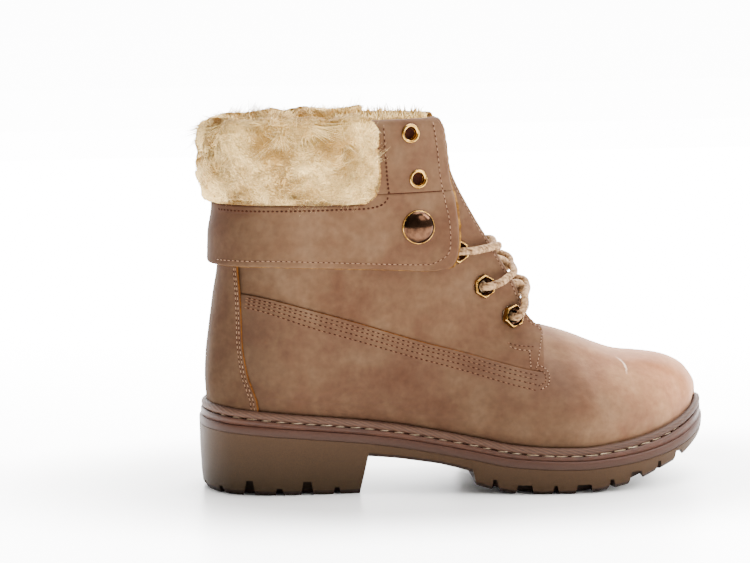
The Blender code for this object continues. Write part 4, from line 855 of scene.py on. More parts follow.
def make_rub_group():
    """A rubbed arc: 1 on a thin bow round a centre, within a patch."""
    tree, given, out = group("rubbed_arc", (("Patch", "Vector", (0, 0, 0)), ("Long", "Float", 0.01),
                                            ("Centre", "Vector", (0, 0, 0)), ("Radius", "Float", 0.01),
                                            ("Wide", "Float", 0.001)), ("Mask",))
    place = add(tree, "TexCoord").outputs["Object"]
    patch, away = [add(tree, "VectorMath", {0: place, 1: given[label]},
                       operation="DISTANCE").outputs["Value"] for label in ("Patch", "Centre")]
    off = sums(tree, "SUBTRACT", away, given["Radius"])
    gap = sums(tree, "ABSOLUTE", sums(tree, "MULTIPLY_ADD", noise(tree, 420.0, 3.0), 0.0012, off))
    mask = sums(tree, "MULTIPLY", spread(tree, patch, 0.0, given["Long"], 1.5, 0.0),
                spread(tree, gap, 0.0, given["Wide"], 1.0, 0.0))
    tree.links.new(mask, out["Mask"])
    return tree


NAP = make_nap_group()
RUB = make_rub_group()
# ways along which painted shade and highlight run over the nubuck: direction, and where it starts and ends
ALONG = ((1, 0, 0), -0.136, 0.136)
UPWARD = ((0.5, 0, 1), 0.06, 0.12)


def base(name, rough, shine=0.5, **more):
    """An empty Principled material; more sets sockets by their names."""
    mat = bpy.data.materials.new(name)
    mat.use_nodes = True
    tree = mat.node_tree
    shader = tree.nodes["Principled BSDF"]
    for key, value in {"Roughness": rough, "Specular IOR Level": shine, **more}.items():
        shader.inputs[key.replace("_", " ")].default_value = value
    return mat, tree, shader


def bump(tree, shader, height, distance):
    node = add(tree, "Bump", {"Height": height, "Distance": distance, "Strength": 1.0})
    tree.links.new(node.outputs["Normal"], shader.inputs["Normal"])


def mottled(name, stops, broad, fine, rough, depth, shine, rub=None, pale=None, painted_light=(), **more):
    """A mottled finish: stops are (cloud, red, green, blue); the (way, steps) rows darken and lighten it as
    painted shade and painted highlight, and rub sets the pale rubbed arc."""
    mat, tree, shader = base(name, rough, shine, **more)
    nap = add(tree, "Group", {"Broad": broad, "Fine": fine}, node_tree=NAP).outputs
    colour = ramp(tree, nap["Cloud"], [(at, tone(*rgb)) for at, *rgb in stops])
    colour = times(tree, colour, spread(tree, nap["Speck"], 0.3, 0.7, 0.9, 1.1))
    # ramps of painted shade and highlight along the given ways
    for (way, start, end), steps in painted_light:
        place = add(tree, "VectorMath", {0: add(tree, "TexCoord").outputs["Object"], 1: way},
                    operation="DOT_PRODUCT").outputs["Value"]
        colour = times(tree, colour, ramp(tree, spread(tree, place, start, end), steps))
    if rub:
        mask = add(tree, "Group", rub, node_tree=RUB).outputs["Mask"]
        fade = sums(tree, "MULTIPLY", mask, 0.75)
        colour = add(tree, "Mix", {0: fade, 6: colour, 7: pale}, data_type="RGBA").outputs[2]
    tree.links.new(colour, shader.inputs["Base Color"])
    worn = spread(tree, nap["Cloud"], 0.35, 0.65, rough - 0.07, rough + 0.07)
    tree.links.new(worn, shader.inputs["Roughness"])
    bump(tree, shader, nap["Height"], depth)
    return mat


def toned(name, low, high, rough, scale, depth, shine=0.5, **more):
    """A finish whose colour follows the piece's own tone attribute."""
    mat, tree, shader = base(name, rough, shine, **more)
    value = add(tree, "Attribute", attribute_name="tone").outputs["Fac"]
    colour = ramp(tree, value, ((0.0, tone(*low)), (1.0, tone(*high))))
    grain = noise(tree, scale, 3.0)
    colour = times(tree, colour, spread(tree, grain, 0.3, 0.7, 0.86, 1.12))
    tree.links.new(colour, shader.inputs["Base Color"])
    bump(tree, shader, grain, depth)
    return mat


def metal(name, low, high, rough):
    """Plated metal with a little patina in patches."""
    mat, tree, shader = base(name, rough, Metallic=1.0)
    film = noise(tree, 260.0, 4.0)
    colour = ramp(tree, film, ((0.36, tone(*low)), (0.6, tone(*high))))
    tree.links.new(colour, shader.inputs["Base Color"])
    tree.links.new(spread(tree, film, 0.35, 0.65, rough + 0.06, rough), shader.inputs["Roughness"])
    return mat


def set_tone(obj, values):
    """Give every point of the piece's mesh its own tone from 0 to 1."""
    layer = obj.data.attributes.new("tone", "FLOAT", "POINT")
    layer.data.foreach_set("value", held(np.asarray(values, np.float32)))


def points_of(obj):
    """The mesh's points in boot millimetres."""
    co = np.empty(len(obj.data.vertices) * 3, np.float32)
    obj.data.vertices.foreach_get("co", co)
    return boot_mm(co.reshape(-1, 3))


NUBUCK_STOPS = ((0.34, 77, 52, 38), (0.46, 84, 60, 45), (0.54, 90, 67, 50), (0.67, 99, 77, 59))
# painted shade at the heel and painted highlight towards the toe
SHADE_AND_HIGHLIGHT = [(at, grey(v)) for at, v in ((0.0, 0.42), (0.1, 0.55), (0.2, 0.83), (0.6, 0.78), (0.7, 0.8),
                                       (0.8, 1.4), (0.92, 1.8))]
# painted highlight: the vamp paler towards its top
TOP_HIGHLIGHT = ((0.0, grey(0.92)), (0.42, grey(0.95)), (0.66, (1.36, 1.27, 1.16, 1.0)),
         (0.86, (1.8, 1.62, 1.4, 1.0)))
TOE = surface(*find(225.0, 61.6, -1))[0][0]
TOE_RUB = {"Patch": Vector(rest(TOE)), "Long": 8.5 * MM, "Centre": Vector(rest(TOE - (14.5, 0.0, 7.5))),
           "Radius": 16.4 * MM, "Wide": 0.6 * MM}
NUBUCK = mottled("nubuck_leather", NUBUCK_STOPS, 21.0, 1400.0, 0.84, 0.00012, 0.06, painted_light=((ALONG, SHADE_AND_HIGHLIGHT),))
VAMP = mottled("nubuck_vamp", NUBUCK_STOPS, 21.0, 1400.0, 0.76, 0.00012, 0.06, TOE_RUB, tone(214, 186, 160),
               ((ALONG, SHADE_AND_HIGHLIGHT), (UPWARD, TOP_HIGHLIGHT)), Sheen_Weight=0.22, Sheen_Roughness=0.45,
               Sheen_Tint=(1.0, 0.8, 0.62, 1.0))
TONGUE_SKIN = mottled("nubuck_tongue", NUBUCK_STOPS, 34.0, 1400.0, 0.84, 0.00012, 0.1,
                      painted_light=((ALONG, SHADE_AND_HIGHLIGHT),))
RAW = mottled("raw_leather_edge", ((0.35, 52, 32, 13), (0.5, 84, 56, 23), (0.65, 122, 88, 42)),
              260.0, 3000.0, 0.85, 0.0001, 0.05)
DARK_RAW = mottled("dark_leather_edge", ((0.35, 66, 38, 16), (0.65, 94, 58, 26)), 260.0, 3000.0, 0.85,
                   0.0001, 0.05)
THREAD = mottled("pale_thread", ((0.35, 106, 78, 60), (0.65, 136, 106, 84)), 300.0, 4000.0, 0.6, 0.00005,
                 0.1)
CREAM_THREAD = mottled("cream_thread", ((0.35, 196, 170, 136), (0.65, 232, 212, 180)), 300.0, 4000.0, 0.6,
                       0.00005, 0.1)
BROWN_THREAD = mottled("brown_thread", ((0.35, 80, 53, 38), (0.65, 102, 72, 52)), 300.0, 4000.0, 0.65,
                       0.00005, 0.1)
# painted shade: dark beads sunk in the needle holes and along the cuff's seam
HOLE = mottled("needle_hole_shade", ((0.3, 38, 21, 13), (0.7, 54, 31, 20)), 300.0, 3000.0, 0.9, 0.00005, 0.05)
BEAD = toned("bead_rubber", (48, 32, 24), (79, 55, 42), 0.62, 1600.0, 0.00005, 0.25)
WELT = mottled("welt_rubber", ((0.36, 52, 31, 22), (0.5, 62, 38, 27), (0.64, 70, 44, 32)), 50.0, 1800.0, 0.6,
               0.00006, 0.25)
MIDSOLE = toned("midsole_rubber", (38, 27, 14), (60, 36, 25), 0.6, 1600.0, 0.00005, 0.25)
SOLE = toned("sole_rubber", (49, 35, 17), (67, 44, 24), 0.62, 1600.0, 0.00005, 0.2)
# painted shade for the tread's low chamfer, its gaps and the core behind them
TREAD_SHADE = mottled("painted_tread_shade", ((0.35, 30, 21, 14), (0.65, 42, 29, 19)), 60.0, 1600.0, 0.75,
                     0.00005, 0.2)
LINING = mottled("lining_pile", ((0.35, 190, 160, 116), (0.65, 236, 218, 186)), 90.0, 900.0, 0.95,
                 0.0006, 0.5, Sheen_Weight=0.3)
INSOLE = mottled("insole_pile", ((0.35, 180, 150, 108), (0.65, 226, 206, 172)), 90.0, 900.0, 0.95,
                 0.0006, 0.5, Sheen_Weight=0.3)
FUR = toned("fur_pile", (160, 120, 56), (248, 213, 138), 0.85, 700.0, 0.0002, Sheen_Weight=0.1)
BRAID = toned("braid_cord", (60, 38, 22), (166, 132, 96), 0.7, 2200.0, 0.00005, 0.1)
BRASS = metal("polished_brass", (112, 80, 38), (184, 142, 76), 0.22)
# dark brass of the snap's dome, also painted shade inside the eyelets
DARK_BRASS_AND_EYELET_SHADE = metal("dark_brass", (48, 34, 26), (70, 50, 38), 0.14)
# painted shade: the dark disc that closes each washer's hole
SHADE = mottled("painted_hole_shade", ((0.3, 26, 12, 8), (0.7, 44, 22, 14)), 300.0, 2000.0, 0.85, 0.00005, 0.05)


# ---- the sole
def outline_at(x, side):
    """Rows of x, y, inset and inward normal of the sole's edge at x on one side."""
    start, turn = int(np.argmin(OUTER[:, 0])), int(np.argmax(OUTER[:, 0]))
    back = np.append(np.arange(turn, len(OUTER)), start)[::-1]
    rows = OUTER[start:turn + 1] if side < 0 else OUTER[back]
    keep = np.concatenate([[True], np.diff(np.maximum.accumulate(rows[:, 0])) > 1e-6])
    rows = rows[keep]
    out = rows_at(x, rows[:, 0], rows)
    out[:, 3:] = unit(out[:, 3:])
    return out


HALF_LONG = 135.0         # half the sole's length


def sole_stations(count, steps=()):
    """Lengthwise places, close together at heel and toe, with the tread's steps."""
    xs = HALF_LONG * (1 - np.cos(np.linspace(0, math.pi, count)))
    return np.unique(np.concatenate([xs, steps]))


def skin(loop):
    """A bmesh over rings of points, one row of the array to each ring."""
    nv, nu = loop.shape[0] - 1, loop.shape[1] - 1
    return lay(nu, nv, lambda u, v: loop[np.rint(v * nv).astype(int), np.rint(u * nu).astype(int)])


def inside(rows, inset, z):
    """Points that far inside the edge's rows, at height z."""
    return np.stack([rows[:, 0] + rows[:, 3] * inset, rows[:, 1] + rows[:, 4] * inset, z], 1)


def loft(xs, sides, across):
    """A closed bmesh along the sole: sides rows are (inset, height) functions of
    the edge's rows, lowest first; across cells join its two sides."""
    rings = {}
    for s, _ in SIDES:
        rows = outline_at(xs, s)
        rings[s] = np.array([inside(rows, inset(rows), height(rows)) for inset, height in sides])
    f = (np.arange(1, across) / across)[:, None, None]
    low = rings[-1][0] * (1 - f) + rings[1][0] * f
    high = rings[1][-1] * (1 - f) + rings[-1][-1] * f
    loop = np.concatenate([low, rings[1], high, rings[-1][::-1]])
    loop = np.concatenate([loop, loop[:1]])
    bm = skin(loop)
    bmesh.ops.dissolve_degenerate(bm, dist=0.000001, edges=bm.edges)
    face_outwards(bm)
    return bm


def bar(bm, a, b, low, high, z0, roof):
    """A tool from a to b across the tread that starts under it and keeps the
    gap's flare: low wide at the floor z0, high wide at its roof."""
    under = 3.0
    d = np.array([b[0] - a[0], b[1] - a[1]])
    length = float(np.linalg.norm(d))
    d /= length
    made = bmesh.ops.create_cube(bm, size=1.0)["verts"]
    for vert in made:
        x, y, z = vert.co
        wide = low + (low - high) / roof * under if z < 0 else high
        along = (x + 0.5) * length
        p = (a[0] + d[0] * along - d[1] * y * wide, a[1] + d[1] * along + d[0] * y * wide,
             z0 - under if z < 0 else z0 + roof)
        vert.co = rest(p)


def both_edges(x):
    """The edge's rows at x on the lateral and the medial side."""
    return [outline_at(np.array([x]), side)[0] for side, _ in SIDES]


def out_from(row, inset):
    """A place in the floor's plane, inset inside one row of the edge."""
    return row[0] + row[3] * inset, row[1] + row[4] * inset


CHANNELS = (146, 158, 166, 182, 198, 213, 231, 246)    # x where the tread's channels bend


def tread_tools():
    """Every gap between the lugs, as one mesh of bars."""
    bm = bmesh.new()
    for x, low, high, roof, across in GAPS:
        z0 = float(tread(x))
        lat, med = both_edges(x)
        if across:
            bar(bm, (x - 0.4, lat[1] - 5.0), (x + 0.4, med[1] + 5.0), low, high, z0, roof)
            continue
        for k, r in enumerate((lat, med)):
            bar(bm, out_from(r, -5), out_from(r, 11), low, high, z0, roof - 0.13 * k)
    for y, toe, low, high, roof in END_GAPS:
        pick = OUTER[(OUTER[:, 0] > HALF_LONG) == bool(toe)]
        r = pick[int(np.argmin(np.abs(pick[:, 1] - y) + (0 if toe else 0.2 * pick[:, 0])))]
        z0 = float(tread(r[0] + r[3] * 6))
        bar(bm, out_from(r, -5), out_from(r, 9), low, high, z0, roof)
    for part in (-0.36, 0.36):
        for x0, x1 in zip(CHANNELS, CHANNELS[1:]):
            ends = []
            for x in (x0 - 0.35, x1 + 0.35):
                lat, med = [row[1] for row in both_edges(x)]
                ends.append((x, (lat + med) / 2 + part * (med - lat) / 2))
            z0 = float(min(tread(x0), tread(x1)))
            rise = float(max(tread(x0), tread(x1))) - z0
            bar(bm, ends[0], ends[1], 5.0, 3.6, z0, rise + 3.3)
    bar(bm, (14.0, 0.3), (92.0, 0.3), 6.0, 4.0, 0.0, 5.1)
    face_outwards(bm)
    return bm


HEEL_END = 84.0
STEPS = (82.3, 86.8, 140.2, 141.8)    # x of the heel's breast and of the tread's front step


def heel_or(heel, sole):
    """A value of the heel, and another of the rest of the sole."""
    return lambda r: np.where(r[:, 0] < HEEL_END, heel, sole)


def make_outsole(mat, dark):
    """The outsole with its lugs, painted shade on its low chamfer and in its gaps, and a dark core of
    painted shade that closes the channels.
    """
    rise = heel_or(2.6, 2.0)
    band = lambda r: RIM_AT(r[:, 0]) - BAND + 0.15

    def belly(r):
        low = tread(r[:, 0]) + rise(r)
        return np.maximum(low + 1.0, tread(r[:, 0]) * 0.35 + (band(r) + GAP) * 0.65)
    sides = (
        (heel_or(3.2, 2.2), lambda r: tread(r[:, 0])),
        (heel_or(1.55, 0.65), lambda r: tread(r[:, 0]) + rise(r) - 0.15),
        (heel_or(1.4, 0.5), lambda r: tread(r[:, 0]) + rise(r) + 0.15),
        (heel_or(0.8, 0.4), lambda r: tread(r[:, 0]) * 0.7 + rise(r) * 0.7 + belly(r) * 0.3),
        (lambda r: 0.15, belly),
        (lambda r: 0.05, lambda r: band(r) - 1.0),
        (lambda r: 0.05, lambda r: band(r) - 0.2),
        (lambda r: 1.5, band),
    )
    bm = loft(sole_stations(170, STEPS), sides, 2)
    obj = finish_piece("outsole_rubber", bm, [mat, dark], ("outsole",), smooth=False)
    tools = stand("tread_tools", bpy.data.meshes.new("tread_tools"))
    cutter = tread_tools()
    cutter.to_mesh(tools.data)
    cutter.free()
    cut = obj.modifiers.new("tread", "BOOLEAN")
    cut.operation = "DIFFERENCE"
    cut.object = tools
    cut.solver = "EXACT"
    cut.use_self = True
    apply_all(obj)
    bpy.data.objects.remove(tools)
    p = points_of(obj)
    set_tone(obj, 0.2 + 0.25 * (p[:, 2] - RIM_AT(p[:, 0]) + BAND + 16.0) / 16.0)
    # faces deep inside the edge or on the low chamfer take the painted shade
    for face in obj.data.polygons:
        c = boot_mm(face.center[:])
        hidden = np.min(np.hypot(OUTER[::4, 0] - c[0], OUTER[::4, 1] - c[1])) > 2.6
        low = c[2] < tread(c[0]) + (2.5 if c[0] < HEEL_END else 1.9)
        face.material_index = int(hidden or low)
    rounded(obj, 0.35, 2, 38.0)
    core = (
        (lambda r: 7.0, lambda r: tread(r[:, 0]) + 0.5),
        (lambda r: 7.0, lambda r: np.maximum(belly(r) - 1.0, tread(r[:, 0]) + 1.5)),
    )
    bm = loft(sole_stations(90, STEPS), core, 2)
    finish_piece("tread_core", bm, [dark], smooth=False)


def apply_all(obj):
    """Make the piece's modifiers part of its mesh."""
    graph = bpy.context.evaluated_depsgraph_get()
    mesh = bpy.data.meshes.new_from_object(obj.evaluated_get(graph))
    obj.modifiers.clear()
    obj.data = mesh


def make_insole(mat):
    top = lambda r: RIM_AT(r[:, 0]) + FLANGE + GAP
    sides = [(lambda r, inset=inset: r[:, 2] + inset, lambda r, rise=rise: top(r) + rise)
             for inset, rise in ((4.4, 0.0), (4.6, 1.6), (5.4, 2.6), (7.5, 2.9))]
    bm = loft(sole_stations(120), sides, 40)
    finish_piece("insole_pile", bm, [mat], ("insole",))


def edge_round(count):
    """The sole's edge as rows at equal steps: x, y, inset, inward normal, length."""
    rows = np.vstack([OUTER, OUTER[:1]])
    length = reach_along(rows[:, :2])
    at = np.linspace(0, length[-1], count + 1)
    out = np.column_stack([rows_at(at, length, rows), at])
    out[:, 3:5] = unit(out[:, 3:5])
    return out


def sweep(rows, profile):
    """A closed ring: profile gives its (inset, height over the rim) pairs."""
    points = [inside(rows, d, RIM_AT(rows[:, 0]) + h) for d, h in profile]
    bm = skin(np.array(points + points[:1]))
    face_outwards(bm)
    return bm


def make_midsole(mat):
    """The midsole's band: a ring under the welt, as wide as the insole covers."""
    rows = edge_round(700)
    d = rows[:, 2]
    band = (
        (0.3, -BAND), (0.05, -BAND + 0.4), (0.0, -BAND + 1.2), (0.0, -2.4), (0.05, -1.0), (0.35, -0.3),
        (0.9, 0.0), (d + 4.4, 0.0), (d + 4.4, FLANGE), (d + 9.0, FLANGE), (d + 9.0, -BAND),
    )
    obj = finish_piece("midsole_band", sweep(rows, band), [mat], ("midsole",))
    p = points_of(obj)
    set_tone(obj, 0.5 + 0.5 * (p[:, 2] - RIM_AT(p[:, 0]) + BAND) / BAND)


LEDGE = 4.3               # the welt's ledge lies this far under the bead's top
BEAD_RADIUS = 2.15


def make_welt(mat, bead_mat):
    """The welt with its stitching groove, and the twisted bead over it, worn
    smooth towards the toe."""
    rows = edge_round(900)
    d = rows[:, 2]
    bead = BEAD_AT(rows[:, 0])
    ledge = bead - LEDGE
    strip = (
        (0.9, GAP), (0.95, ledge - 0.8), (1.3, ledge - 0.1), (2.0, ledge), (2.5, ledge - 0.1),
        (2.9, ledge - 0.5), (3.7, ledge - 0.6), (4.2, ledge - 0.2), (d - 1.0, ledge - 0.4),
        (d + 4.0, FLANGE - 0.4), (d + 4.0, GAP),
    )
    finish_piece("welt_strip", sweep(rows, strip), [mat], ("welt",))
    rows = edge_round(860)
    d = rows[:, 2]
    bead = BEAD_AT(rows[:, 0])
    ring = []
    radius = BEAD_RADIUS
    turns = np.concatenate([np.linspace(-0.62 * math.pi, 0.62 * math.pi, 25),
                            np.linspace(0.62 * math.pi, 1.38 * math.pi, 6)[1:-1]])
    round_trip = rows[:, 5] / rows[-1, 5] * 2 * math.pi
    worn = np.interp(rows[:, 0], (150.0, 215.0), (1.0, 0.45))
    tall = radius * 1.05
    for a in turns:
        strand = np.sin(round_trip * 62 + 4.4 * a)
        grow = 1 + worn * 0.17 * np.abs(strand) * (0.5 + 0.5 * math.cos(a)) - 0.07
        ring.append((d - 2.0 - radius * grow * math.cos(a), bead - tall + tall * grow * math.sin(a)))
    rope = finish_piece("welt_bead", sweep(rows, ring), [bead_mat])
    p = points_of(rope)
    core = inside(rows, d - 2.0, RIM_AT(rows[:, 0]) + bead - tall)
    far = np.array([np.sqrt(((core - q) ** 2).sum(1).min()) for q in p])
    # crests of the strands paler and grooves between them darker: painted highlight and painted shade
    set_tone(rope, (far / radius - 0.94) / 0.12)


# ---- the upper
def lip(bm, depth, mat_index=1):
    """Turn the sheet's open edges inwards by depth, as its cut edge."""
    bm.normal_update()
    rim = [e for e in bm.edges if e.is_boundary]
    into = {v: v.normal.copy() for e in rim for v in e.verts}
    for part in bmesh.ops.extrude_edge_only(bm, edges=rim)["geom"]:
        if isinstance(part, bmesh.types.BMFace):
            part.material_index = mat_index
        elif isinstance(part, bmesh.types.BMVert):
            twin = next(v for v in [e.other_vert(part) for e in part.link_edges] if v in into)
            part.co -= into[twin] * depth * MM
    return bm


# section in which the vamp and its side panels start, just under the back panel
VAMP_BACK = min(float(find(UNDER_BACK + 2.0, 105.0, side)[0][0]) for side, _ in SIDES) - 0.15
CORNER = 6.5              # radius of the facing's lower front corner
FRONT_END = THROAT_ROW + 0.15    # section in which the quarters end


def stride(s, t):
    """Millimetres along the boot for one section."""
    return np.linalg.norm(surface(s + 0.1, t)[0] - surface(s - 0.1, t)[0], axis=-1) / 0.2


def facing_edge(s, side):
    """The facing's front edge, rounded at its lower corner."""
    edge = throat_edge(s, side)
    left = np.clip(CORNER - (FRONT_END - s) * stride(s, edge), 0, CORNER)
    return edge + side * (CORNER - np.sqrt(np.maximum(CORNER ** 2 - left ** 2, 0))) / arc(s, side)


def make_vamp(mats):
    """The vamp and both lower side panels in one: it runs round the toe and ends
    under the back panel."""
    rows, cols = 196, 206
    gap = (0.40, 0.60)    # the share across that the throat and the vamp's top take
    last = 1 - 1 / (gap[0] * cols)
    skive = 0.8

    def places(u, v):
        s = VAMP_BACK + (TOE_ROW - VAMP_BACK) * u
        lat, med = panel_edge(s, -1), panel_edge(s, 1)
        out = []
        for line, side, f in ((lat, -1, v / gap[0]), (med, 1, (1 - v) / (1 - gap[1]))):
            inner = line + side * np.where(s < THROAT_ROW + 0.5, skive, 1.2) / arc(s, side)
            f = held(f)
            out.append(np.where(f <= last, side + (inner - side) * f / last,
                                inner + (line - inner) * (f - last) / (1 - last)))
        middle = lat + (med - lat) * (v - gap[0]) / (gap[1] - gap[0])
        return s, np.where(v < gap[0], out[0], np.where(v > gap[1], out[1], middle))

    def shape(u, v):
        s, t = places(u, v)
        p, n = surface(s, t)
        rim = (np.abs(v - gap[0]) < 0.4 / cols) | (np.abs(v - gap[1]) < 0.4 / cols)
        lowered = np.where((s < THROAT_ROW) & rim, -0.75, 0.0)
        crest = (v > gap[0] + 0.4 / cols) & (v < gap[1] - 0.4 / cols)
        level = np.where(crest, PANEL, panel_level(s, t))
        under = soft((THROAT_ROW + 0.2 - s) / 1.2) * crest * 0.6
        return p + n * (level + lowered - under + upper_relief(p))[:, None]

    def drop(u, v):
        s, t = places(u, v)
        throat = np.where(t > 0, throat_edge(s, 1), throat_edge(s, -1))
        between = (v > gap[0]) & (v < gap[1])
        return between & ((s < THROAT_ROW - 2.4) | ((s < THROAT_ROW - 0.5) & (np.abs(t) < np.abs(throat))))

    def edge(u, v):
        close = np.minimum(np.abs(v - gap[0]), np.abs(v - gap[1])) < 1 / cols
        return close & (places(u, v)[0] < THROAT_ROW - 0.3) & ((v < gap[0]) | (v > gap[1]))
    bm = lip(lay(rows, cols, shape, drop, from_axis, edge), 1.5)
    finish_piece("vamp_leather", bm, mats, ("upper",))


def spot(x, z, side):
    """Surface point, outward direction and leather level at x, z on one side."""
    s, t = find(x, z, side)
    p, n = surface(s, t)
    return p[0], n[0], float(leather_level(s, t)[0])


EYELET_HOLE = 5.6         # radii of the holes behind the metal
WASHER_HOLE = 4.2


def make_quarters(mats):
    """The two quarters with their facings: from the back seam to the throat, and
    a little way under the lower panel."""
    for side, word in SIDES:
        def shape(u, v):
            s = FRONT_END * (1 - (1 - u) ** 1.25)
            edge, line = facing_edge(s, side), panel_edge(s, side)
            under = line + side * 7.0 / arc(s, side) * held((s - 3.0) / 2.0)
            low = np.where(np.abs(under) > 1, side, under)
            low = side + (low - side) * soft((s - 1.0) / 2.0)
            t = edge + (low - edge) * v
            front = throat_edge(s, side)
            share = held((t - front) / (line - front))
            below = held((np.abs(t) - np.abs(line)) * arc(s, side) / 2.0) * (s > 3.2)
            p, n = surface(s, t)
            level = facing_lift(s, share) * (1 - below) - 0.5 * below
            lowered = 0.4 * held(1 - v * 120) + 0.4 * held(1 - (1 - u) * 190)
            return p + n * (level - lowered + upper_relief(p))[:, None]

        def holes(u, v):
            p = shape(u, v)
            gone = np.zeros(len(p), bool)
            for x, z, _ in EYELETS:
                gone |= np.linalg.norm(p - spot(x, z, side)[0], axis=1) < EYELET_HOLE
            return gone
        bm = lip(lay(172, 110, shape, holes, from_axis), 2.4)
        finish_piece("quarter_" + word, bm, mats)


def make_lining(mat):
    """The pile lining inside, from the collar to the toe."""
    def shape(u, v):
        s = 0.1 + (TOE_ROW - 1.5) * u
        left, right = throat_edge(s, -1), throat_edge(s, 1)
        t = np.where(v < 0.45, -1 + (left + 1) * v / 0.45,
                     np.where(v > 0.55, right + (1 - right) * (v - 0.55) / 0.45,
                              left + (right - left) * (v - 0.45) / 0.1))
        p, n = surface(s, t)
        pile = 0.5 * np.sin(p[:, 0] * 1.9 + 2 * np.sin(p[:, 2])) * np.sin(p[:, 2] * 1.7 + p[:, 1])
        return p - n * (WALL + 0.4 + pile * 0.5)[:, None]

    def drop(u, v):
        return (0.1 + (TOE_ROW - 1.5) * u < THROAT_ROW - 0.4) & (v > 0.45) & (v < 0.55)
    bm = lay(100, 90, shape, drop, from_axis)
    obj = finish_piece("lining_pile", bm, [mat])
    thicken(obj, 0.8)


TONGUE_SINK = 6.0         # how far the tongue's middle lies under the throat


def make_tongue(mats):
    """The tongue: it sinks under the throat and spreads under both facings."""
    def shape(u, v):
        s = 0.45 + 18.6 * u
        edge = [throat_edge(s, k) for k, _ in SIDES]
        wing = [k * 14.0 / arc(s, k) for k, _ in SIDES]
        w = 2 * v - 1
        t = np.where(w < -0.5, edge[0] + wing[0] * (-w - 0.5) * 2,
                     np.where(w > 0.5, edge[1] + wing[1] * (w - 0.5) * 2,
                              edge[0] + (edge[1] - edge[0]) * (w + 0.5)))
        across = (t - edge[0]) / (edge[1] - edge[0])
        deep = np.maximum(4 * across * (1 - across), 0) * np.clip((THROAT_ROW - s) / 3, 0.15, 1)
        return surface(s, t, -WALL - 0.9 - TONGUE_SINK * deep)[0]
    bm = lay(46, 18, shape, None, lambda p: p - (60.0, 0.0, 60.0))
    obj = finish_piece("tongue_leather", bm, mats, ("tongue",))
    rounded(thicken(obj, 2.4, 1), 0.5)
    smooth = obj.modifiers.new("smooth", "SUBSURF")
    smooth.levels = smooth.render_levels = 1


BACK_CENTRE = 45.0        # the back panel is measured by angles about this x
HEEL_ROUND = 38.0         # about the heel's radius there
HEEL_SECTIONS = 17        # sections that the heel takes part in
COUNTER_X = curve([z for _, z in COUNTER_EDGE], [x for x, _ in COUNTER_EDGE])


def heel_at(angle, z, off):
    """Points of the heel at height z, in direction angle from straight back."""
    block = SURF[:HEEL_SECTIONS * STEP]
    ang = np.arctan2(block[:, :, 1], BACK_CENTRE - block[:, :, 0])
    places = np.linspace(-1, 1, 2 * ARC + 1)
    s, t = np.empty(len(z)), np.empty(len(z))
    for k in range(len(z)):
        d = ((ang - angle[k]) * HEEL_ROUND) ** 2 + (block[:, :, 2] - z[k]) ** 2
        ok = places * (1 if angle[k] >= 0 else -1) > 0
        i, j = np.unravel_index(int(np.argmin(np.where(ok, d, 1e9))), d.shape)
        s[k], t[k] = S_GRID[i], places[j]
    side = np.where(angle >= 0, 1.0, -1.0)
    e = 0.01

    def miss(s, t):
        p = surface(s, t)[0]
        return np.stack([(np.arctan2(p[:, 1], BACK_CENTRE - p[:, 0]) - angle) * HEEL_ROUND, p[:, 2] - z], 1)
    for _ in range(6):
        m = miss(s, t)
        ds = (miss(s + e, t) - m) / e
        dt = (m - miss(s, t - e * side)) / (e * side)[:, None]
        move_s, move_t = short_step(m.T, ds.T, dt.T)
        s, t = np.clip(s - move_s, 0, HEEL_SECTIONS), side * held(np.abs(t - move_t))
    return surface(s, t, off)[0]


PANEL_WIDE = 42.0         # about the back panel's width on one side, round the heel


def counter_place(u, share):
    """Angle and height of a point of the back panel: u across, share up."""
    z = np.full(len(u), 90.0)
    levels = np.linspace(40, 130, 19)
    edges = {}
    for side, _ in SIDES:
        s, t = find(COUNTER_X(levels), levels, side)
        p = surface(s, t)[0]
        edges[side] = np.abs(np.arctan2(p[:, 1], BACK_CENTRE - p[:, 0]))
    for _ in range(4):
        edge = np.where(u >= 0, np.interp(z, levels, edges[1]), np.interp(z, levels, edges[-1]))
        x = BACK_CENTRE - HEEL_ROUND * np.cos(u * edge)
        low = RIM_AT(x - 3.0) + BEAD_AT(x - 3.0) - 0.6
        z = low + share * (COUNTER_TOP - low)
    return u * edge, z


COUNTER_OUT = 1.8         # the back panel's face, over the last


def back_panel_face(u, share, more=0.0):
    """Points on the back panel's face, and the directions out of it."""
    angle, z = counter_place(u, share)
    p = heel_at(angle, z, COUNTER_OUT)
    out = heel_at(angle, z, COUNTER_OUT + 1.0) - p
    return p + out * (0.12 * waves(6, p, 30.0) + more)[:, None], out


def make_back_panel(mats):
    """The back panel; its front edges show the leather's cut."""
    cols = 64

    def across(u):
        f = np.abs(2 * u - 1)
        inner = 1 - 0.8 / PANEL_WIDE
        last = 1 - 2 / cols
        cut = inner + (1 - inner) * (f - last) * cols / 2
        return np.sign(u - 0.5) * np.where(f <= last, f * inner / last, cut)

    def shape(u, v):
        return back_panel_face(across(u), v, -1.0 * (np.abs(2 * u - 1) > 1 - 0.5 / cols))[0]

    def edge(u, v):
        return np.abs(2 * u - 1) > 1 - 2 / cols
    bm = lip(lay(cols, 60, shape, None, from_axis, edge), 1.0)
    finish_piece("back_panel_leather", bm, mats, ("back_panel",))


# ---- the cuff
BAND_THICK = 4.1          # the cuff's outer face, over what it leaves to the last
CUFF_X = curve([z for _, z in CUFF_FRONT], [x for x, _ in CUFF_FRONT])
CUFF_Z = curve(*columns(CUFF_LOW))


def cuff_inside(x, z):
    """Gap between the last and the cuff."""
    back = held((36.0 - x) / 8.0) * held((150.0 - z) / 16.0)
    corner = held((x - 119.0) / 10.0) * held((160.0 - z) / 22.0)
    return 0.9 + 2.0 * soft(back) + 1.9 * soft(corner)


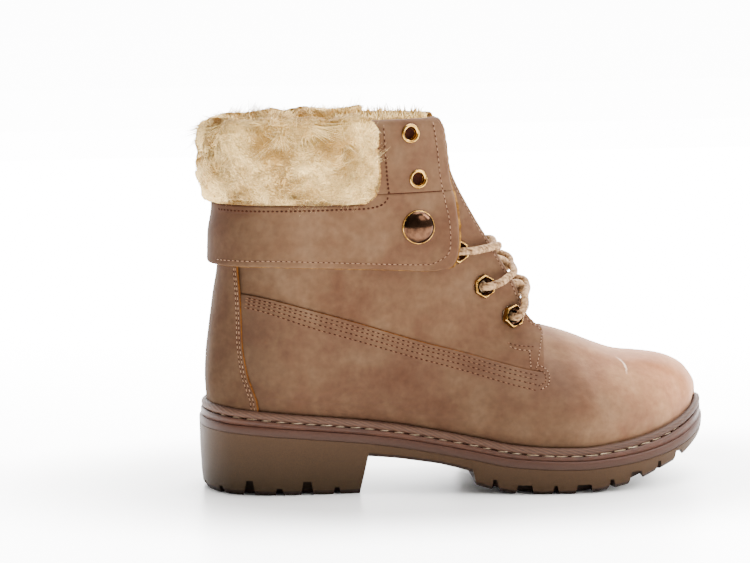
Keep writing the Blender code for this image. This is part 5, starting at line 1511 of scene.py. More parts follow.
def cuff_fronts():
    """Places of both front edges over a range of heights."""
    levels = np.linspace(114, 195, 28)
    edge = CUFF_X(levels)
    return levels, {side: np.array([place_at(x, level, side, cuff_inside(x, level) + BAND_THICK)[0]
                                    for x, level in zip(edge, levels)]) for side, _ in SIDES}


FRONT_LEVELS, FRONTS = cuff_fronts()


def cuff_place(u, z):
    """Place round the shaft: u from -1 at the lateral front edge to 1."""
    return u * np.where(u < 0, np.interp(z, FRONT_LEVELS, FRONTS[-1]), np.interp(z, FRONT_LEVELS, FRONTS[1]))


def cuff_wave(p):
    """The soft waves of the cuff's leather."""
    return 0.30 * waves(8, p, 70.0) + 0.10 * waves(9, p, 24.0)


def cuff_face(q, z, more):
    """Points on the cuff's outer face and the directions out of it."""
    p = shell(z, q)[0]
    return shell(z, q, cuff_inside(p[:, 0], z) + BAND_THICK + cuff_wave(p) + more)


SEAM_Z = 157.0            # the seam across the cuff's front strips


def band_top(x):
    """The band's upper edge: under the fur, and up to the seam in front."""
    return BAND_TOP + (SEAM_Z - BAND_TOP) * soft((x - 84.0) / 8.0)


# the front strips, from the seam up, over the top and down inside
STRIP_PATH = (
    # height, offset from the last
    (SEAM_Z - 0.3, 3.4), (SEAM_Z - 0.2, 4.9), (SEAM_Z + 0.3, 5.3), (172.0, 5.2), (188.5, 5.0), (191.6, 4.7),
    (193.4, 3.6), (194.4, 1.8), (194.5, -0.8), (193.9, -3.4), (192.0, -5.0), (186.0, -5.6), (160.0, -5.6),
)


def make_cuff(mats):
    """The band, all round, the front strips over it, and the layer behind both
    whose cut edge stands a little out."""
    def settle(u, v, lowest, highest, place):
        """Place, height and x of the points that lie share v of the way up."""
        z = np.full(len(u), 130.0)
        for _ in range(4):
            q = place(u, z)
            x = shell(z, q)[0][:, 0]
            low = lowest(x)
            z = low + v * (highest(x) - low)
        return q, z, x

    def shape(u, v):
        u = 2 * u - 1
        q, z, x = settle(u, v, CUFF_Z, lambda x: band_top(x) + 2.0, cuff_place)
        tuck = -1.3 * held((z - band_top(x) + 0.7) / 1.0)
        edge = -0.5 * held(1 - v * 44) - 0.5 * held(1 - (1 - np.abs(u)) * 110)
        return cuff_face(q, z, tuck + edge)[0]
    bm = lip(lay(220, 48, shape, None, from_axis), 1.9)
    finish_piece("cuff_band", bm, mats, ("cuff",))

    def behind(u, v):
        u = 2 * u - 1
        q, z, _ = settle(u, v, lambda x: CUFF_Z(x) - 0.3, lambda x: 191.0,
                         lambda u, z: cuff_place(u, np.clip(z, 117, COLLAR)))
        out = held((np.abs(u) - 0.97) / 0.03)
        high = 0.005 * held((z - 158.0) / 10.0)
        q = q + np.sign(u) * out * (0.009 + high + 0.004 * np.exp(-((z - 146.0) / 14.0) ** 2))
        ragged = 0.25 * waves(12, shell(z, q)[0], 3.0) * out
        return shell(z, q, cuff_inside(shell(z, q)[0][:, 0], z) + BAND_THICK - 1.7 + ragged)[0]
    bm = lip(lay(200, 70, behind, None, from_axis), 1.2, 0)
    finish_piece("cuff_inner_layer", bm, mats[1:])

    reach = reach_along(STRIP_PATH)
    for side, word in SIDES:
        def strip(u, v):
            z, off = rows_at(v * reach[-1], reach, STRIP_PATH).T
            z_side = np.minimum(z, COLLAR)
            back = place_at(STRIP_BACK, z_side, side) - 0.07 * held(-off / 3.0)
            front = np.abs(cuff_place(np.full(len(u), float(side)), z_side))
            q = side * (back + (front - back) * u)
            p = shell(z_side, q)[0]
            outside = held(off / 2.0)
            more = outside * (cuff_inside(p[:, 0], z) - 0.9 + cuff_wave(p) - 0.4 * held(1 - (1 - u) * 60))
            return shell(z, q, off + more)[0]

        def holes(u, v):
            p = strip(u, v)
            gone = np.zeros(len(p), bool)
            for x, z in WASHERS:
                at, n, _ = spot(x, z, side)
                d = p - at
                far = d @ n
                gone |= (far > 0) & (np.linalg.norm(d - far[:, None] * n, axis=1) < WASHER_HOLE)
            return gone
        bm = lip(lay(60, 130, strip, holes, from_axis), 1.4)
        finish_piece("cuff_strip_" + word, bm, mats)


# ---- the fur
# the fur's section, from its lower edge up, over the top and down inside
FUR_PATH = (
    # height, offset from the last
    (152.6, 5.4), (152.8, 8.0), (155.0, 9.8), (163.5, 10.9), (173.0, 11.4), (183.0, 11.1),
    (189.6, 10.2), (193.4, 8.2), (195.6, 5.0), (196.2, 1.0), (195.6, -3.0), (193.0, -7.0), (188.6, -9.0),
    (181.0, -9.6), (171.5, -8.8), (160.0, -7.5),
)
FUR_EDGE = (
    # height, x of the fur's front edge
    (152.0, 84.5), (153.5, 88.0), (156.0, 91.0), (160.0, 92.8), (166.0, 93.4), (180.0, 92.4),
    (187.0, 92.6), (192.0, 91.6), (196.0, 88.5), (202.0, 87.5),
)
FUR_TABLE = np.array(FUR_PATH)
FUR_REACH = reach_along(FUR_TABLE)
FUR_FRONT_X = curve(*columns(FUR_EDGE))


def fur_edge_tables():
    """Places of the fur's front edge on both sides, over the height."""
    levels = np.linspace(150, 198, 34)
    return levels, {side: np.array([place_at(FUR_FRONT_X(z), min(z, COLLAR), side)[0] for z in levels])
                    for side, _ in SIDES}


FUR_LEVELS, FUR_ENDS = fur_edge_tables()


def fur_skin(u, v, tufts=True):
    """Points of the fur's skin: u from -1 to 1 round the boot, v along its path."""
    z, off = rows_at(v * FUR_REACH[-1], FUR_REACH, FUR_TABLE).T
    z = z - 2.0 * held((z - 180) / 14) * held(1.15 - np.abs(u) * 1.5)
    lat, med = [np.interp(np.where(off > 0, z, 180.0), FUR_LEVELS, FUR_ENDS[side]) for side, _ in SIDES]
    q = u * np.where(u < 0, lat, med)
    near_end = held((1 - np.abs(u)) / 0.045)
    end = np.sqrt(near_end * (2 - near_end))
    off = np.where(off > 4.0, 4.6 + (off - 4.6) * end, off)
    p = shell(z, q, off)[0]
    if tufts:
        seam = np.exp(-(np.abs(q) * 150 / 2.2) ** 2) * 1.5
        lump = 0.7 * waves(21, p, 21.0) + 0.35 * waves(22, p, 9.0) - seam
        fade = held((1 - np.abs(u)) / 0.03)
        p = shell(z, q, off + lump * fade * np.where(off < 0, -1, 1) * held(np.abs(off) / 4))[0]
        p[:, 2] += held((z - 190) / 8) * (0.8 * waves(23, p, 17.0) + 0.4 * waves(22, p, 7.5))
    return p


def fur_frame(u, v):
    """Skin points, outward directions, and both directions along the skin."""
    e = 0.002
    p = fur_skin(u, v)
    du = fur_skin(np.clip(u + e, -1, 1), v, False) - fur_skin(np.clip(u - e, -1, 1), v, False)
    dv = fur_skin(u, held(v + e), False) - fur_skin(u, held(v - e), False)
    du /= np.linalg.norm(du, axis=1)[:, None] + 1e-9
    dv -= du * (du * dv).sum(1)[:, None]
    dv /= np.linalg.norm(dv, axis=1)[:, None] + 1e-9
    return p, np.cross(du, dv), du, dv


def pile(name, count, seed, pick, mat, length):
    """Tapered hairs that stand in tufts on the skin and lie with its swirl;
    pick(rng, count) gives their places."""
    rng = np.random.default_rng(seed)
    u, v = pick(rng, count)
    p, n, du, dv = fur_frame(u, v)
    turn = 1.3 * waves(31, p, 52.0) + 0.55 * waves(32, p, 19.0) + rng.normal(0, 0.16, count) - 1.3
    way = du * np.cos(turn)[:, None] + dv * np.sin(turn)[:, None]
    lean = np.clip(1.12 + 0.2 * waves(33, p, 14.0) + rng.normal(0, 0.14, count), 0.3, 1.45)
    tall = length * rng.uniform(0.65, 1.2, count)
    bend = rng.uniform(0.25, 0.8, count)
    across = np.cross(n, way)
    side_swing = 0.42 * waves(37, p, 9.0) + rng.normal(0, 0.1, count)
    tall = tall * np.clip((1 - np.abs(u)) / 0.12, 0.2, 1) * np.clip((v - 0.02) / 0.15, 0.12, 1)
    root = p - n * 0.6
    stem = []
    for f in (0.0, 0.5, 1.0):
        a = lean * (0.55 + 0.75 * f * bend)
        stem.append(root + (n * np.cos(a)[:, None] + way * np.sin(a)[:, None]
                            + across * (side_swing * (1 - 2 * f) * f * 2)[:, None]) * (tall * f)[:, None])
    thick = rng.uniform(0.24, 0.4, count)[:, None]
    shade = 0.6 + 0.2 * waves(34, p, 30.0) + 0.06 * waves(35, p, 11.0) + 0.08 * waves(38, p, 2.6)
    shade += rng.normal(0, 0.1, count)
    hairs(name, stem, across, n, thick, shade, (-0.34, 0.0, 0.28), mat)


def hairs(name, stem, across, n, thick, shade, steps, mat):
    """One mesh of hairs: stem has their three levels, steps the tone of each, darker at the root as painted
    shade among the hairs and paler at the tip.
    """
    level = np.rint(HAIR[0][:, 2] + 0.5).astype(int)

    def place(local):
        return np.stack([stem[k] + (across * x + n * y) * thick for k, (x, y, _) in zip(level, local)], 1)
    swarm(name, HAIR, place, mat, np.stack([shade + steps[k] for k in level], 1))


def template(bm):
    """Corners and faces of a small shape, for a swarm of it."""
    bm.verts.index_update()
    local = np.array([v.co[:] for v in bm.verts])
    faces = [[v.index for v in f.verts] for f in bm.faces]
    bm.free()
    return local, faces


def hair_shape():
    """A three-sided hair: a tube to half its height, then a tip."""
    bm = bmesh.new()
    bmesh.ops.create_cone(bm, cap_ends=False, segments=3, radius1=1.0, radius2=0.8, depth=1.0)
    top = [e for e in bm.edges if min(v.co.z for v in e.verts) > 0.4]
    made = bmesh.ops.extrude_edge_only(bm, edges=top)["geom"]
    for v in [g for g in made if isinstance(g, bmesh.types.BMVert)]:
        v.co = (0.0, 0.0, 1.5)
    bmesh.ops.remove_doubles(bm, verts=bm.verts, dist=0.001)
    face_outwards(bm)
    return template(bm)


def stitch_shape():
    """A small round bead, drawn out to a stitch or a hole."""
    bm = bmesh.new()
    bmesh.ops.create_uvsphere(bm, u_segments=6, v_segments=4, radius=1.0)
    return template(bm)


HAIR = hair_shape()
STITCH = stitch_shape()


def swarm(name, shape, place, mat, tones=None):
    """One mesh of many equal small shapes; place(local) puts the shape's corners
    at (count, corners, 3) in millimetres."""
    local, faces = shape
    verts = place(local)
    count, corners = verts.shape[:2]
    sizes = np.array([len(f) for f in faces])
    loops = np.concatenate([np.array(f) for f in faces])
    every = (loops[None] + (np.arange(count) * corners)[:, None]).ravel()
    totals = np.tile(sizes, count)
    starts = np.concatenate([[0], np.cumsum(totals)[:-1]])
    mesh = bpy.data.meshes.new(name)
    mesh.vertices.add(count * corners)
    mesh.vertices.foreach_set("co", rest(verts.reshape(-1, 3)).astype(np.float32).ravel())
    mesh.loops.add(len(every))
    mesh.loops.foreach_set("vertex_index", every.astype(np.int32))
    mesh.polygons.add(len(totals))
    mesh.polygons.foreach_set("loop_start", starts.astype(np.int32))
    mesh.update(calc_edges=True)
    mesh.validate()
    obj = place_mesh(name, mesh, [mat])
    if tones is not None:
        set_tone(obj, tones.ravel())


def inner_pile(mat):
    """Hairs that stand up inside the front strips, behind their folded top."""
    rng = np.random.default_rng(45)
    for side, word in SIDES:
        count = 2500
        z = rng.uniform(176, 193.5, count)
        q = side * rng.uniform(0.50, 0.87, count)
        p, n = shell(z, q, -6.3)
        up = np.array([0.0, 0.0, 1.0]) + rng.normal(0, 0.22, (count, 3)) - n * 0.25
        across = np.cross(n, up)
        tall = rng.uniform(3.2, 5.4, count)[:, None]
        stem = [p, p + up * tall * 0.5, p + up * tall + across * rng.normal(0, 0.8, count)[:, None]]
        thick = rng.uniform(0.2, 0.32, count)[:, None]
        shade = 0.6 + 0.12 * waves(34, p, 30.0) + rng.normal(0, 0.12, count)
        hairs("fur_inside_" + word, stem, across, n, thick, shade, (-0.3, 0.0, 0.24), mat)


PILES = (
    # name, hairs, seed, side, from and to across, from and to along the path, length
    ("fur_lateral", 18000, 41, -1, 0.0, 0.999, 0.0, 0.56, 9.0),
    ("fur_medial", 9500, 42, 1, 0.0, 0.999, 0.0, 0.56, 9.0),
    ("fur_rim", 11200, 43, 1, -0.999, 0.999, 0.5, 1.0, 6.0),
)


def make_fur(mat):
    bm = lay(190, 88, lambda u, v: fur_skin(2 * u - 1, v))
    face_outwards(bm)
    obj = finish_piece("cuff_fur_skin", bm, [mat], ("cuff_fur",))
    p = points_of(obj)
    set_tone(obj, 0.3 + 0.16 * waves(34, p, 30.0) + 0.07 * waves(35, p, 9.0))
    inner_pile(mat)
    few = 1.0
    for name, count, seed, side, u0, u1, v0, v1, length in PILES:
        def pick(rng, count):
            return side * rng.uniform(u0, u1, count), rng.uniform(v0, v1, count)
        pile(name, int(count * few), seed, pick, mat, length)


# ---- stitching
SEAMS = {"pale": [], "cream": [], "brown": [], "holes": []}
HOLE_DEPTH = 0.28         # half the height of a needle hole's dark bead
HOLE_SINK = 0.16          # how far a needle hole lies under the stitches


def even(points, ways, pitch, start=0.5):
    """Places along a line at equal steps, with their directions along and out."""
    reach = reach_along(points)
    count = max(int(reach[-1] / pitch), 1)
    at = (np.arange(count) + start) * reach[-1] / count
    n = unit(rows_at(at, reach, ways))
    behind, p, ahead = [rows_at(np.clip(at + step, 0, reach[-1]), reach, points) for step in (-0.5, 0, 0.5)]
    d = ahead - behind
    return p, unit(d - n * (d * n).sum(1)[:, None]), n


def add_row(kind, p, d, n, out, size):
    """Note a row of equal beads: size is half their width, height and length."""
    SEAMS[kind].append((p + n * out, d, n, np.full((len(p), 3), size)))


def sew(line, pitch, thread, long, wide, high, out, hole):
    """A row of stitches along a line, and the needle holes between them as dark beads of painted shade."""
    add_row(thread, *even(*line, pitch), out, (wide / 2, high, long / 2))
    size = (hole / 2, HOLE_DEPTH, min((pitch - long) / 2 + hole * 0.4, hole))
    add_row("holes", *even(*line, pitch, 1.0), out - HOLE_SINK, size)


def prick(line, pitch):
    """A row of needle holes alone, as dark beads of painted shade."""
    add_row("holes", *even(*line, pitch, 1.0), 0.14 - HOLE_SINK, (0.6, HOLE_DEPTH, 1.2 * 0.62))


def make_stitches():
    """One mesh of each thread and one of the holes, from all rows that were sewn."""
    rng = np.random.default_rng(51)
    mats = {"pale": THREAD, "cream": CREAM_THREAD, "brown": BROWN_THREAD, "holes": HOLE}
    for kind, rows in SEAMS.items():
        p, d, n, size = [np.concatenate([row[k] for row in rows]) for k in range(4)]
        across = np.cross(n, d)
        skew = rng.normal(0, 0.05, len(p))[:, None] if kind != "holes" else 0.0
        d2 = d + across * skew
        size = size * rng.uniform(0.92, 1.06, size.shape)

        def place(local):
            x, y, z = [(local[None, :, k] * size[:, k:k + 1])[..., None] for k in range(3)]
            return p[:, None] + across[:, None] * x + n[:, None] * y + d2[:, None] * z
        swarm("stitching_" + kind, STITCH, place,
              mats[kind])


def smooth_line(table, count):
    """Smooth line through x, z rows."""
    reach = reach_along(table)
    at = np.linspace(0, reach[-1], count)
    return [curve(reach, values)(at) for values in columns(table)]


def upper_line(table, side, shift=0.0):
    """A line on the upper from x, z rows; shift moves it down square to the line."""
    x, z = smooth_line(table, 90)
    dx, dz = np.gradient(x), np.gradient(z)
    shift = shift * (0.74 + 0.26 * soft((x - 24.0) / 45.0)) / np.hypot(dx, dz)
    return leather(*find(x + dz * shift, z - dx * shift, side))


# the small hook of stitches at the facing's lower front corner
TACK = ((175.2, 64.2), (179.4, 62.6), (181.6, 59.0), (180.6, 55.2), (176.6, 53.2))
FACING_FOOT = (
    # x, z rows, pitch, thread, length, width, height, out, hole: the facing's
    # lower edge, and down to the panel
    (((161.0, 75.6), (167.0, 73.4), (174.6, 72.2)), 2.1, "brown", 1.4, 0.6, 0.25, 0.1, 0.8),
    (((161.8, 73.6), (167.4, 71.4), (173.6, 70.3)), 2.1, "pale", 1.4, 0.6, 0.25, 0.1, 0.6),
    (((172.6, 70.6), (172.4, 63.0)), 1.9, "pale", 1.3, 0.6, 0.28, 0.1, 0.7),
)


def sew_the_upper():
    panel = [(25.0, 104.8)] + [(x, z) for x, z in PANEL_EDGE if 24 < x < 176]
    for side, _ in SIDES:
        for shift in (2.4, 4.3, 6.6, 9.2):
            sew(upper_line(panel, side, shift), 2.75, "brown", 1.6, 0.5, 0.16, 0.04, 0.85)
        for shift, thread in ((0.0, "pale"), (1.9, "brown")):
            sew(upper_line(TACK, side, shift), 1.9, thread, 1.25, 0.6, 0.28, 0.08, 0.7)
        for table, *stitch in FACING_FOOT:
            sew(upper_line(table, side), *stitch)
        # along the facing, close to its front edge
        s = np.linspace(0.6, FRONT_END - 0.5, 240)
        t = facing_edge(s, side) + side * 2.5 / arc(s, side)
        down = np.linspace(t[-1], panel_edge(FRONT_END, side) - side * 1.0 / arc(FRONT_END, side), 40)[1:]
        s, t = np.append(s, FRONT_END - np.linspace(0.5, 0.75, 39)), np.append(t, down)
        sew(leather(s, t), 2.6, "pale", 1.8, 0.44, 0.2, 0.06, 0.6)
        # the back panel's two rows
        share = np.linspace(0.0, 0.98, 60)
        for inset in (2.3, 4.2):
            q, out = back_panel_face(np.full(60, side * (1 - inset / PANEL_WIDE)), share)
            sew((q, unit(out)), 2.5, "pale", 1.6, 0.44, 0.2, 0.05, 0.6)


# stitched rows of the cuff, x and z along each
CUFF_ROW = ((122.8, 193.2), (125.0, 179.0), (126.8, 162.0), (128.6, 152.0), (130.2, 140.0), (130.4, 131.0),
            (129.4, 125.6), (125.4, 121.6), (119.0, 119.4), (98.0, 120.3), (78.0, 121.4), (60.0, 122.2),
            (40.0, 122.8), (26.0, 122.8), (16.0, 122.6), (11.5, 122.4))
STRIP_ROW = ((96.4, 193.0), (97.2, 176.0), (98.4, 160.0), (98.8, 157.4))
FUR_ROW = ((98.8, 156.6), (97.6, 153.4), (93.6, 150.6), (86.0, 149.4), (76.0, 149.2), (56.0, 148.8),
           (36.0, 148.6), (20.0, 148.4), (12.0, 148.4))
SEAM_ROW = ((98.0, SEAM_Z), (110.0, SEAM_Z), (129.4, SEAM_Z))


def cuff_line(table, side, more=0.0, count=80):
    """A line on the cuff from x, z rows."""
    x, z = smooth_line(table, count)
    q = side * place_at(x, z, side, 5.2)
    return cuff_face(q, z, more + 0.3 * (z > SEAM_Z + 0.3))


def sew_the_cuff():
    for side, _ in SIDES:
        sew(cuff_line(CUFF_ROW, side, 0.0, 200), 2.7, "pale", 1.9, 0.44, 0.2, 0.06, 0.6)
        p, n = cuff_line(STRIP_ROW, side, 0.1)
        sew((p[:40], n[:40]), 2.6, "pale", 1.8, 0.44, 0.2, 0.06, 0.8)
        prick((p[40:], n[40:]), 2.2)
        prick(cuff_line(FUR_ROW, side, 0.0, 140), 2.3)
        # dark beads of painted shade along the seam's gap
        add_row("holes", *even(*cuff_line(SEAM_ROW, side), 1.1), -0.12, (0.5, 0.32, 0.85))


WELT_PITCH = 7.7          # from one stitch of the welt to the next


def sew_the_welt():
    rows = edge_round(1400)
    at = inside(rows, 3.35, RIM_AT(rows[:, 0]) + BEAD_AT(rows[:, 0]) - LEDGE - 0.1)
    out = unit(np.column_stack([-rows[:, 3:5] * 0.45, np.ones(len(rows))]))
    p, d, n = even(at, out, WELT_PITCH)
    add_row("cream", p, d + np.cross(n, d) * 0.06, n, 0.25, (0.4, 0.5, 3.7))
    add_row("holes", *even(at, out, WELT_PITCH, 1.0), -0.2, (0.6, 0.5, 0.5))


# ---- metal and lace
def turned(name, p, n, profile, turn, mats, split, replaces, around=72):
    """A part turned about n at p: profile rows are (radius, height, hexagon
    share), turn sets a flat's angle, and the second material starts inside the
    split radius."""
    e2 = unit(np.array([0.0, 0.0, 1.0]) - n * n[2])
    e1 = np.cross(e2, n)
    rows = len(profile) - 1

    def shape(u, v):
        a = 2 * math.pi * u
        r, h, six = rows_at(v * rows, np.arange(rows + 1), profile).T
        corner = (a - math.radians(90.0 + turn) + math.pi / 6) % (math.pi / 3) - math.pi / 6
        flat = math.cos(math.pi / 6) / np.cos(math.pi / 6 - np.abs(corner))
        r = r * (1 + (flat - 1) * six)
        return p + (np.cos(a) * r)[:, None] * e1 + (np.sin(a) * r)[:, None] * e2 + h[:, None] * n
    bm = lay(around, rows, shape, None, lambda q: np.repeat(n[None], len(q), 0))
    bmesh.ops.dissolve_degenerate(bm, dist=0.000001, edges=bm.edges)
    for face in bm.faces:
        q = boot_mm(face.calc_center_median()[:]) - p
        if np.linalg.norm(q - n * (q @ n)) < split:
            face.material_index = 1
    finish_piece(name, bm, mats, (replaces,))


def raised(profile, level):
    """Profile rows lifted to a level."""
    return [(r, level + h, six) for r, h, six in profile]


EYELET = (
    # radius, height, hexagon share
    (6.5, -1.7, 1), (6.5, 0.0, 1), (6.45, 0.5, 1), (6.2, 1.05, 1), (5.8, 1.35, 1), (5.35, 1.3, 1),
    (5.05, 0.95, 1), (4.8, 0.3, 1), (4.3, -0.1, 0.8), (3.6, -0.15, 0.3), (3.15, -0.4, 0), (2.9, -1.2, 0),
)
WASHER = (
    # radius, height, hexagon share
    (5.0, -1.2, 0), (5.0, 0.4, 0), (4.88, 0.8, 0), (4.5, 1.08, 0), (4.05, 1.1, 0), (3.6, 0.85, 0),
    (3.25, 0.4, 0), (3.1, -0.4, 0), (3.1, -1.35, 0), (0.02, -1.35, 0),
)
DOME = (
    # radius, height, hexagon share
    (8.75, -1.6, 0), (8.75, 0.3, 0), (8.68, 0.6, 0), (8.5, 0.8, 0), (8.3, 0.78, 0), (8.2, 0.75, 0),
    (7.9, 1.15, 0), (7.2, 1.8, 0), (6.2, 2.4, 0), (4.8, 2.95, 0), (3.2, 3.3, 0), (1.6, 3.48, 0),
    (0.02, 3.55, 0),
)


EYELET_FOOT = 6.3         # radius on which an eyelet bears


def band_face(x, z):
    """Offset of the cuff's outer face from the last."""
    return float(cuff_inside(np.array([x]), np.array([z]))[0]) + BAND_THICK


def make_metal():
    """Eyelets that bear on the highest leather under them, their insides and a closing disc dark as painted
    shade, washers and domes.
    """
    for side, word in SIDES:
        for k, (x, z, turn) in enumerate(EYELETS):
            p, n, lift = spot(x, z, side)
            around = np.linspace(0, 2 * math.pi, 13)[:12]
            ring = [spot(x + EYELET_FOOT * math.cos(a), z + EYELET_FOOT * math.sin(a), side) for a in around]
            top = max([lift] + [float((q + m * level - p) @ n) for q, m, level in ring]) + 0.35
            # the eyelet's inner lip, barrel and closing disc take the dark metal: painted shade in the hole
            profile = raised(EYELET, top) + [(2.85, -2.6, 0), (0.02, -2.6, 0)]
            turned("eyelet_%s_%d_brass" % (word, k + 1), p, n, profile, turn * side,
                   [BRASS, DARK_BRASS_AND_EYELET_SHADE], 4.9, "eyelet_%s_%d" % (word, k + 1))
        for k, (x, z) in enumerate(WASHERS):
            p, n, _ = spot(x, z, side)
            # the washer's hole is closed by a disc of painted shade
            turned("washer_%s_%d_brass" % (word, k + 1), p, n, raised(WASHER, band_face(x, z)), 0.0,
                   [BRASS, SHADE], 3.0, "washer_%s_%d" % (word, k + 1))
        p, n, _ = spot(*SNAP, side)
        turned("snap_%s_dome" % word, p, n, raised(DOME, band_face(*SNAP) + 0.35), 0.0,
               [BRASS, DARK_BRASS_AND_EYELET_SHADE], 8.25, "snap_" + word, 96)


LACE_ROUTES = (
    # height, place (2 eyelet, 1 facing edge, 0 ridge), clearance
    ((88.3, 2.0, 5.8), (93.2, 1.45, 5.6), (98.2, 0.97, 2.7), (102.4, 0.0, -2.2), (105.6, -0.56, -1.6)),
    ((105.2, 2.0, 4.2), (106.6, 1.6, 4.3), (109.6, 1.15, 2.9), (111.3, 0.9, 2.2), (115.6, 0.0, -4.0),
     (119.2, -0.56, -2.6)),
    ((124.2, 1.72, 3.2), (124.6, 1.35, 2.7), (125.0, 0.95, 2.7), (125.2, 0.0, -5.4)),
)


def height_row(z, place, side, eye):
    """Section and place for a row of the lace's route; eye is its eyelet's place."""
    def place_on(s):
        edge = float(throat_edge(s, side if place >= 0 else -side))
        if place <= 1:
            return edge * abs(place)
        return edge + (eye - edge) * (place - 1)
    low, high = 0.0, float(THROAT_ROW)
    for _ in range(24):
        mid = (low + high) / 2
        if surface(np.array([mid]), np.array([place_on(mid)]))[0][0][2] > z:
            low = mid
        else:
            high = mid
    return low, place_on(low)


def route_points(k, side, over=0.0):
    """Points of one stretch of lace: from its eyelet over the facing and across."""
    eye = float(find(*EYELETS[k][:2], side)[1][0])
    out = []
    for z, place, clear in LACE_ROUTES[k]:
        s, t = height_row(z, place, side, eye)
        lift = float(leather_level(np.array([s]), np.array([t]))[0]) if abs(place) >= 1 else 0.0
        if abs(place) < 0.8:
            clear = clear + over
        out.append(surface(np.array([s]), np.array([t]), clear + lift)[0][0])
    return out


def eyelet_points(k, side, inwards):
    """The lace's way through one eyelet."""
    p, n, lift = spot(*EYELETS[k][:2], side)
    way = [p - n * 3.2, p + n * (lift - 0.3)]
    return way[::-1] if inwards else way


def smooth_path(points, gap):
    """Round curve through the points, resampled at equal gaps."""
    p = np.array(points)
    ends = np.vstack([2 * p[0] - p[1], p, 2 * p[-1] - p[-2]])
    t = np.linspace(0, 1, 12, endpoint=False)[:, None]
    out = []
    for i in range(1, len(ends) - 2):
        a, b, c, d = ends[i - 1:i + 3]
        out.append(0.5 * (2 * b + (c - a) * t + (2 * a - 5 * b + 4 * c - d) * t * t
                          + (3 * b - a - 3 * c + d) * t ** 3))
    out = np.vstack(out + [p[-1:]])
    reach = reach_along(out)
    return rows_at(np.linspace(0, reach[-1], int(reach[-1] / gap) + 1), reach, out)


STEP_ALONG = 0.5          # length of one ring of the lace


def make_lace():
    """One lace: its hidden ends stop behind the top medial eyelet."""
    p, n, _ = spot(*EYELETS[2][:2], 1)
    path = [p - n * 3.4]
    path += route_points(1, -1, 1.6)[::-1]
    path += eyelet_points(1, -1, True)
    path += route_points(0, 1, -1.6)[::-1]
    path += eyelet_points(0, 1, True)
    low = [spot(EYELETS[0][0] + 1.5, EYELETS[0][1] - 3.0, side) for side in (1, -1)]
    path += [low[0][0] - low[0][1] * 5.0, (low[0][0] + low[1][0]) / 2 + (4.0, 0.0, -6.0),
             low[1][0] - low[1][1] * 5.0]
    path += eyelet_points(0, -1, False)
    path += route_points(0, -1, 1.6)
    path += eyelet_points(1, 1, False)
    path += route_points(1, 1, -1.6)
    path += eyelet_points(2, -1, False)
    path += route_points(2, -1) + route_points(2, 1)[-2::-1]
    path += eyelet_points(2, 1, True)
    line = smooth_path(path, STEP_ALONG)
    d = unit(np.gradient(line, axis=0))
    e1 = np.empty_like(line)
    up = np.array([0.3, 0.1, 1.0])
    for i in range(len(line)):
        up = unit(up - d[i] * (up @ d[i]))
        e1[i] = up
    e2 = np.cross(d, e1)
    sides, count = 20, len(line) - 1
    long = np.arange(len(line)) * STEP_ALONG

    def shape(u, v):
        i = np.clip(np.rint(u * (count + 2)).astype(int) - 1, 0, count)
        end = (u < 0.5 / (count + 2)) | (u > 1 - 0.5 / (count + 2))
        a = 2 * math.pi * v
        braid = np.maximum(np.sin(5 * a + long[i] * 1.75), np.sin(5 * a - long[i] * 1.75))
        r = np.where(end, 0.0, LACE - 0.12 + 0.17 * braid)
        return line[i] + e1[i] * (np.cos(a) * r)[:, None] + e2[i] * (np.sin(a) * r)[:, None]
    bm = lay(count + 2, sides, shape)
    face_outwards(bm)
    obj = finish_piece("lace_braid", bm, [BRAID],
                       ("lace_cross_1", "lace_cross_2", "lace_bar_top"))
    p = points_of(obj)
    rng = np.random.default_rng(61)
    set_tone(obj, 0.55 + 0.22 * waves(62, p, 1.7) + 0.12 * waves(63, p, 6.0) + rng.normal(0, 0.1, len(p)))


# ---- the boot
make_outsole(SOLE, TREAD_SHADE)
make_midsole(MIDSOLE)
make_insole(INSOLE)
make_welt(WELT, BEAD)
make_vamp([VAMP, DARK_RAW])
make_quarters([NUBUCK, RAW])
make_lining(LINING)
make_tongue([TONGUE_SKIN, RAW])
make_back_panel([NUBUCK, DARK_RAW])
make_cuff([NUBUCK, RAW])
make_fur(FUR)
make_metal()
make_lace()
sew_the_upper()
sew_the_cuff()
sew_the_welt()
make_stitches()


# ---- stage
LAMPS = (
    # name, place, aim, size, power, colour
    ("key", (1.1, -1.1, 1.2), (0.06, 0.0, 0.08), 0.7, 20, (1.0, 0.98, 0.95)),
    ("front", (1.0, -0.1, 0.95), (0.08, 0.0, 0.06), 0.6, 26, (1.0, 1.0, 1.0)),
    ("rear", (0.5, 0.9, 1.1), (0.0, 0.0, 0.08), 0.9, 32, (1.0, 1.0, 1.0)),
    ("overhead", (0.25, 0.25, 1.5), (0.0, 0.0, 0.08), 1.2, 58, (1.0, 1.0, 1.0)),
)


def hang_lamps():
    for name, place, aim, size, power, colour in LAMPS:
        data = bpy.data.lights.new(name, "AREA")
        data.energy = power
        data.size = size
        data.color = colour
        obj = stand(name, data)
        obj.location = place
        obj.rotation_euler = (Vector(aim) - Vector(place)).to_track_quat("-Z", "Y").to_euler()


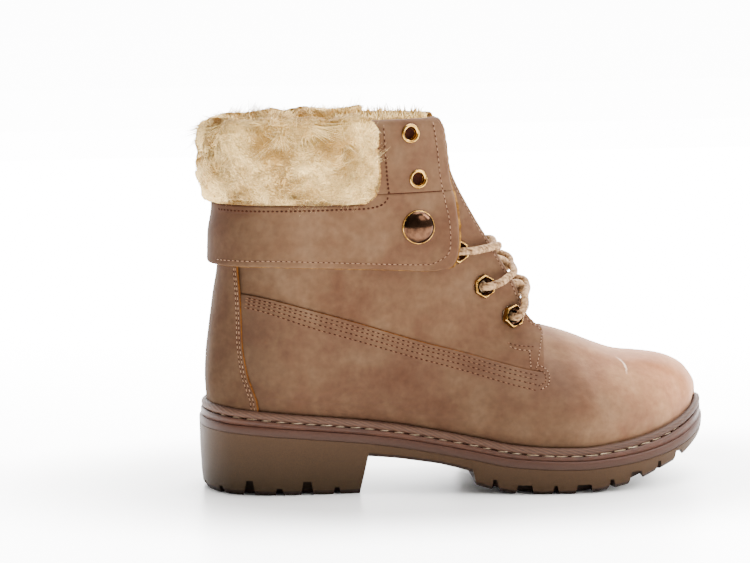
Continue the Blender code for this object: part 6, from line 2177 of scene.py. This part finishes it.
def studio():
    """A pale floor that sweeps up behind and glows, brighter towards the back, its glow cut under and round
    the boot as a painted shadow, and soft lamps.
    """
    def shape(u, v):
        y = -3.0 + 7.0 * v
        bend = held((y - 1.6) / 1.2)
        z = np.where(y > 1.6, 2.4 * bend * bend * 0.5 + np.maximum(y - 2.8, 0) * 2.0, 0.0)
        return boot_mm(np.stack([(u - 0.5) * 12.0, y, z], 1))
    bm = lay(2, 70, shape)
    mesh = bpy.data.meshes.new("floor_sweep")
    bm.normal_update()
    bm.to_mesh(mesh)
    bm.free()
    floor = stand("floor_sweep", mesh)
    mat, tree, shader = base("pale_sweep", 0.35)
    shader.inputs["Base Color"].default_value = (0.9, 0.89, 0.88, 1.0)
    place = add(tree, "TexCoord").outputs["Object"]
    back = spread(tree, add(tree, "SeparateXYZ", {0: place}).outputs["Y"], 0.05, 1.4)
    glow = ramp(tree, back, ((0.0, grey(0.95)), (0.08, grey(1.1)), (0.4, grey(1.75))))
    # painted shadow: no glow under and round the boot
    across = add(tree, "VectorMath", {0: place, 1: (1 / 0.165, 1 / 0.085, 0.0)}, operation="MULTIPLY")
    away = add(tree, "VectorMath", {0: across.outputs[0]}, operation="LENGTH")
    clear = add(tree, "MapRange", {"Value": away.outputs["Value"], "From Min": 0.9, "From Max": 1.9},
                interpolation_type="SMOOTHSTEP")
    tree.links.new(times(tree, glow, clear.outputs[0]), shader.inputs["Emission Color"])
    shader.inputs["Emission Strength"].default_value = 6.0
    mesh.materials.append(mat)
    world = bpy.data.worlds.new("studio")
    world.use_nodes = True
    tree = world.node_tree
    way = add(tree, "TexCoord").outputs["Generated"]
    toward = add(tree, "VectorMath", {0: way, 1: (0.80, 0.30, 0.52)}, operation="DOT_PRODUCT")
    glow = spread(tree, toward.outputs["Value"], -0.9, 0.9, 0.02, 0.8)
    ground = tree.nodes["Background"]
    ground.inputs["Color"].default_value = (1, 1, 1, 1)
    tree.links.new(glow, ground.inputs["Strength"])
    bpy.context.scene.world = world
    hang_lamps()


studio()
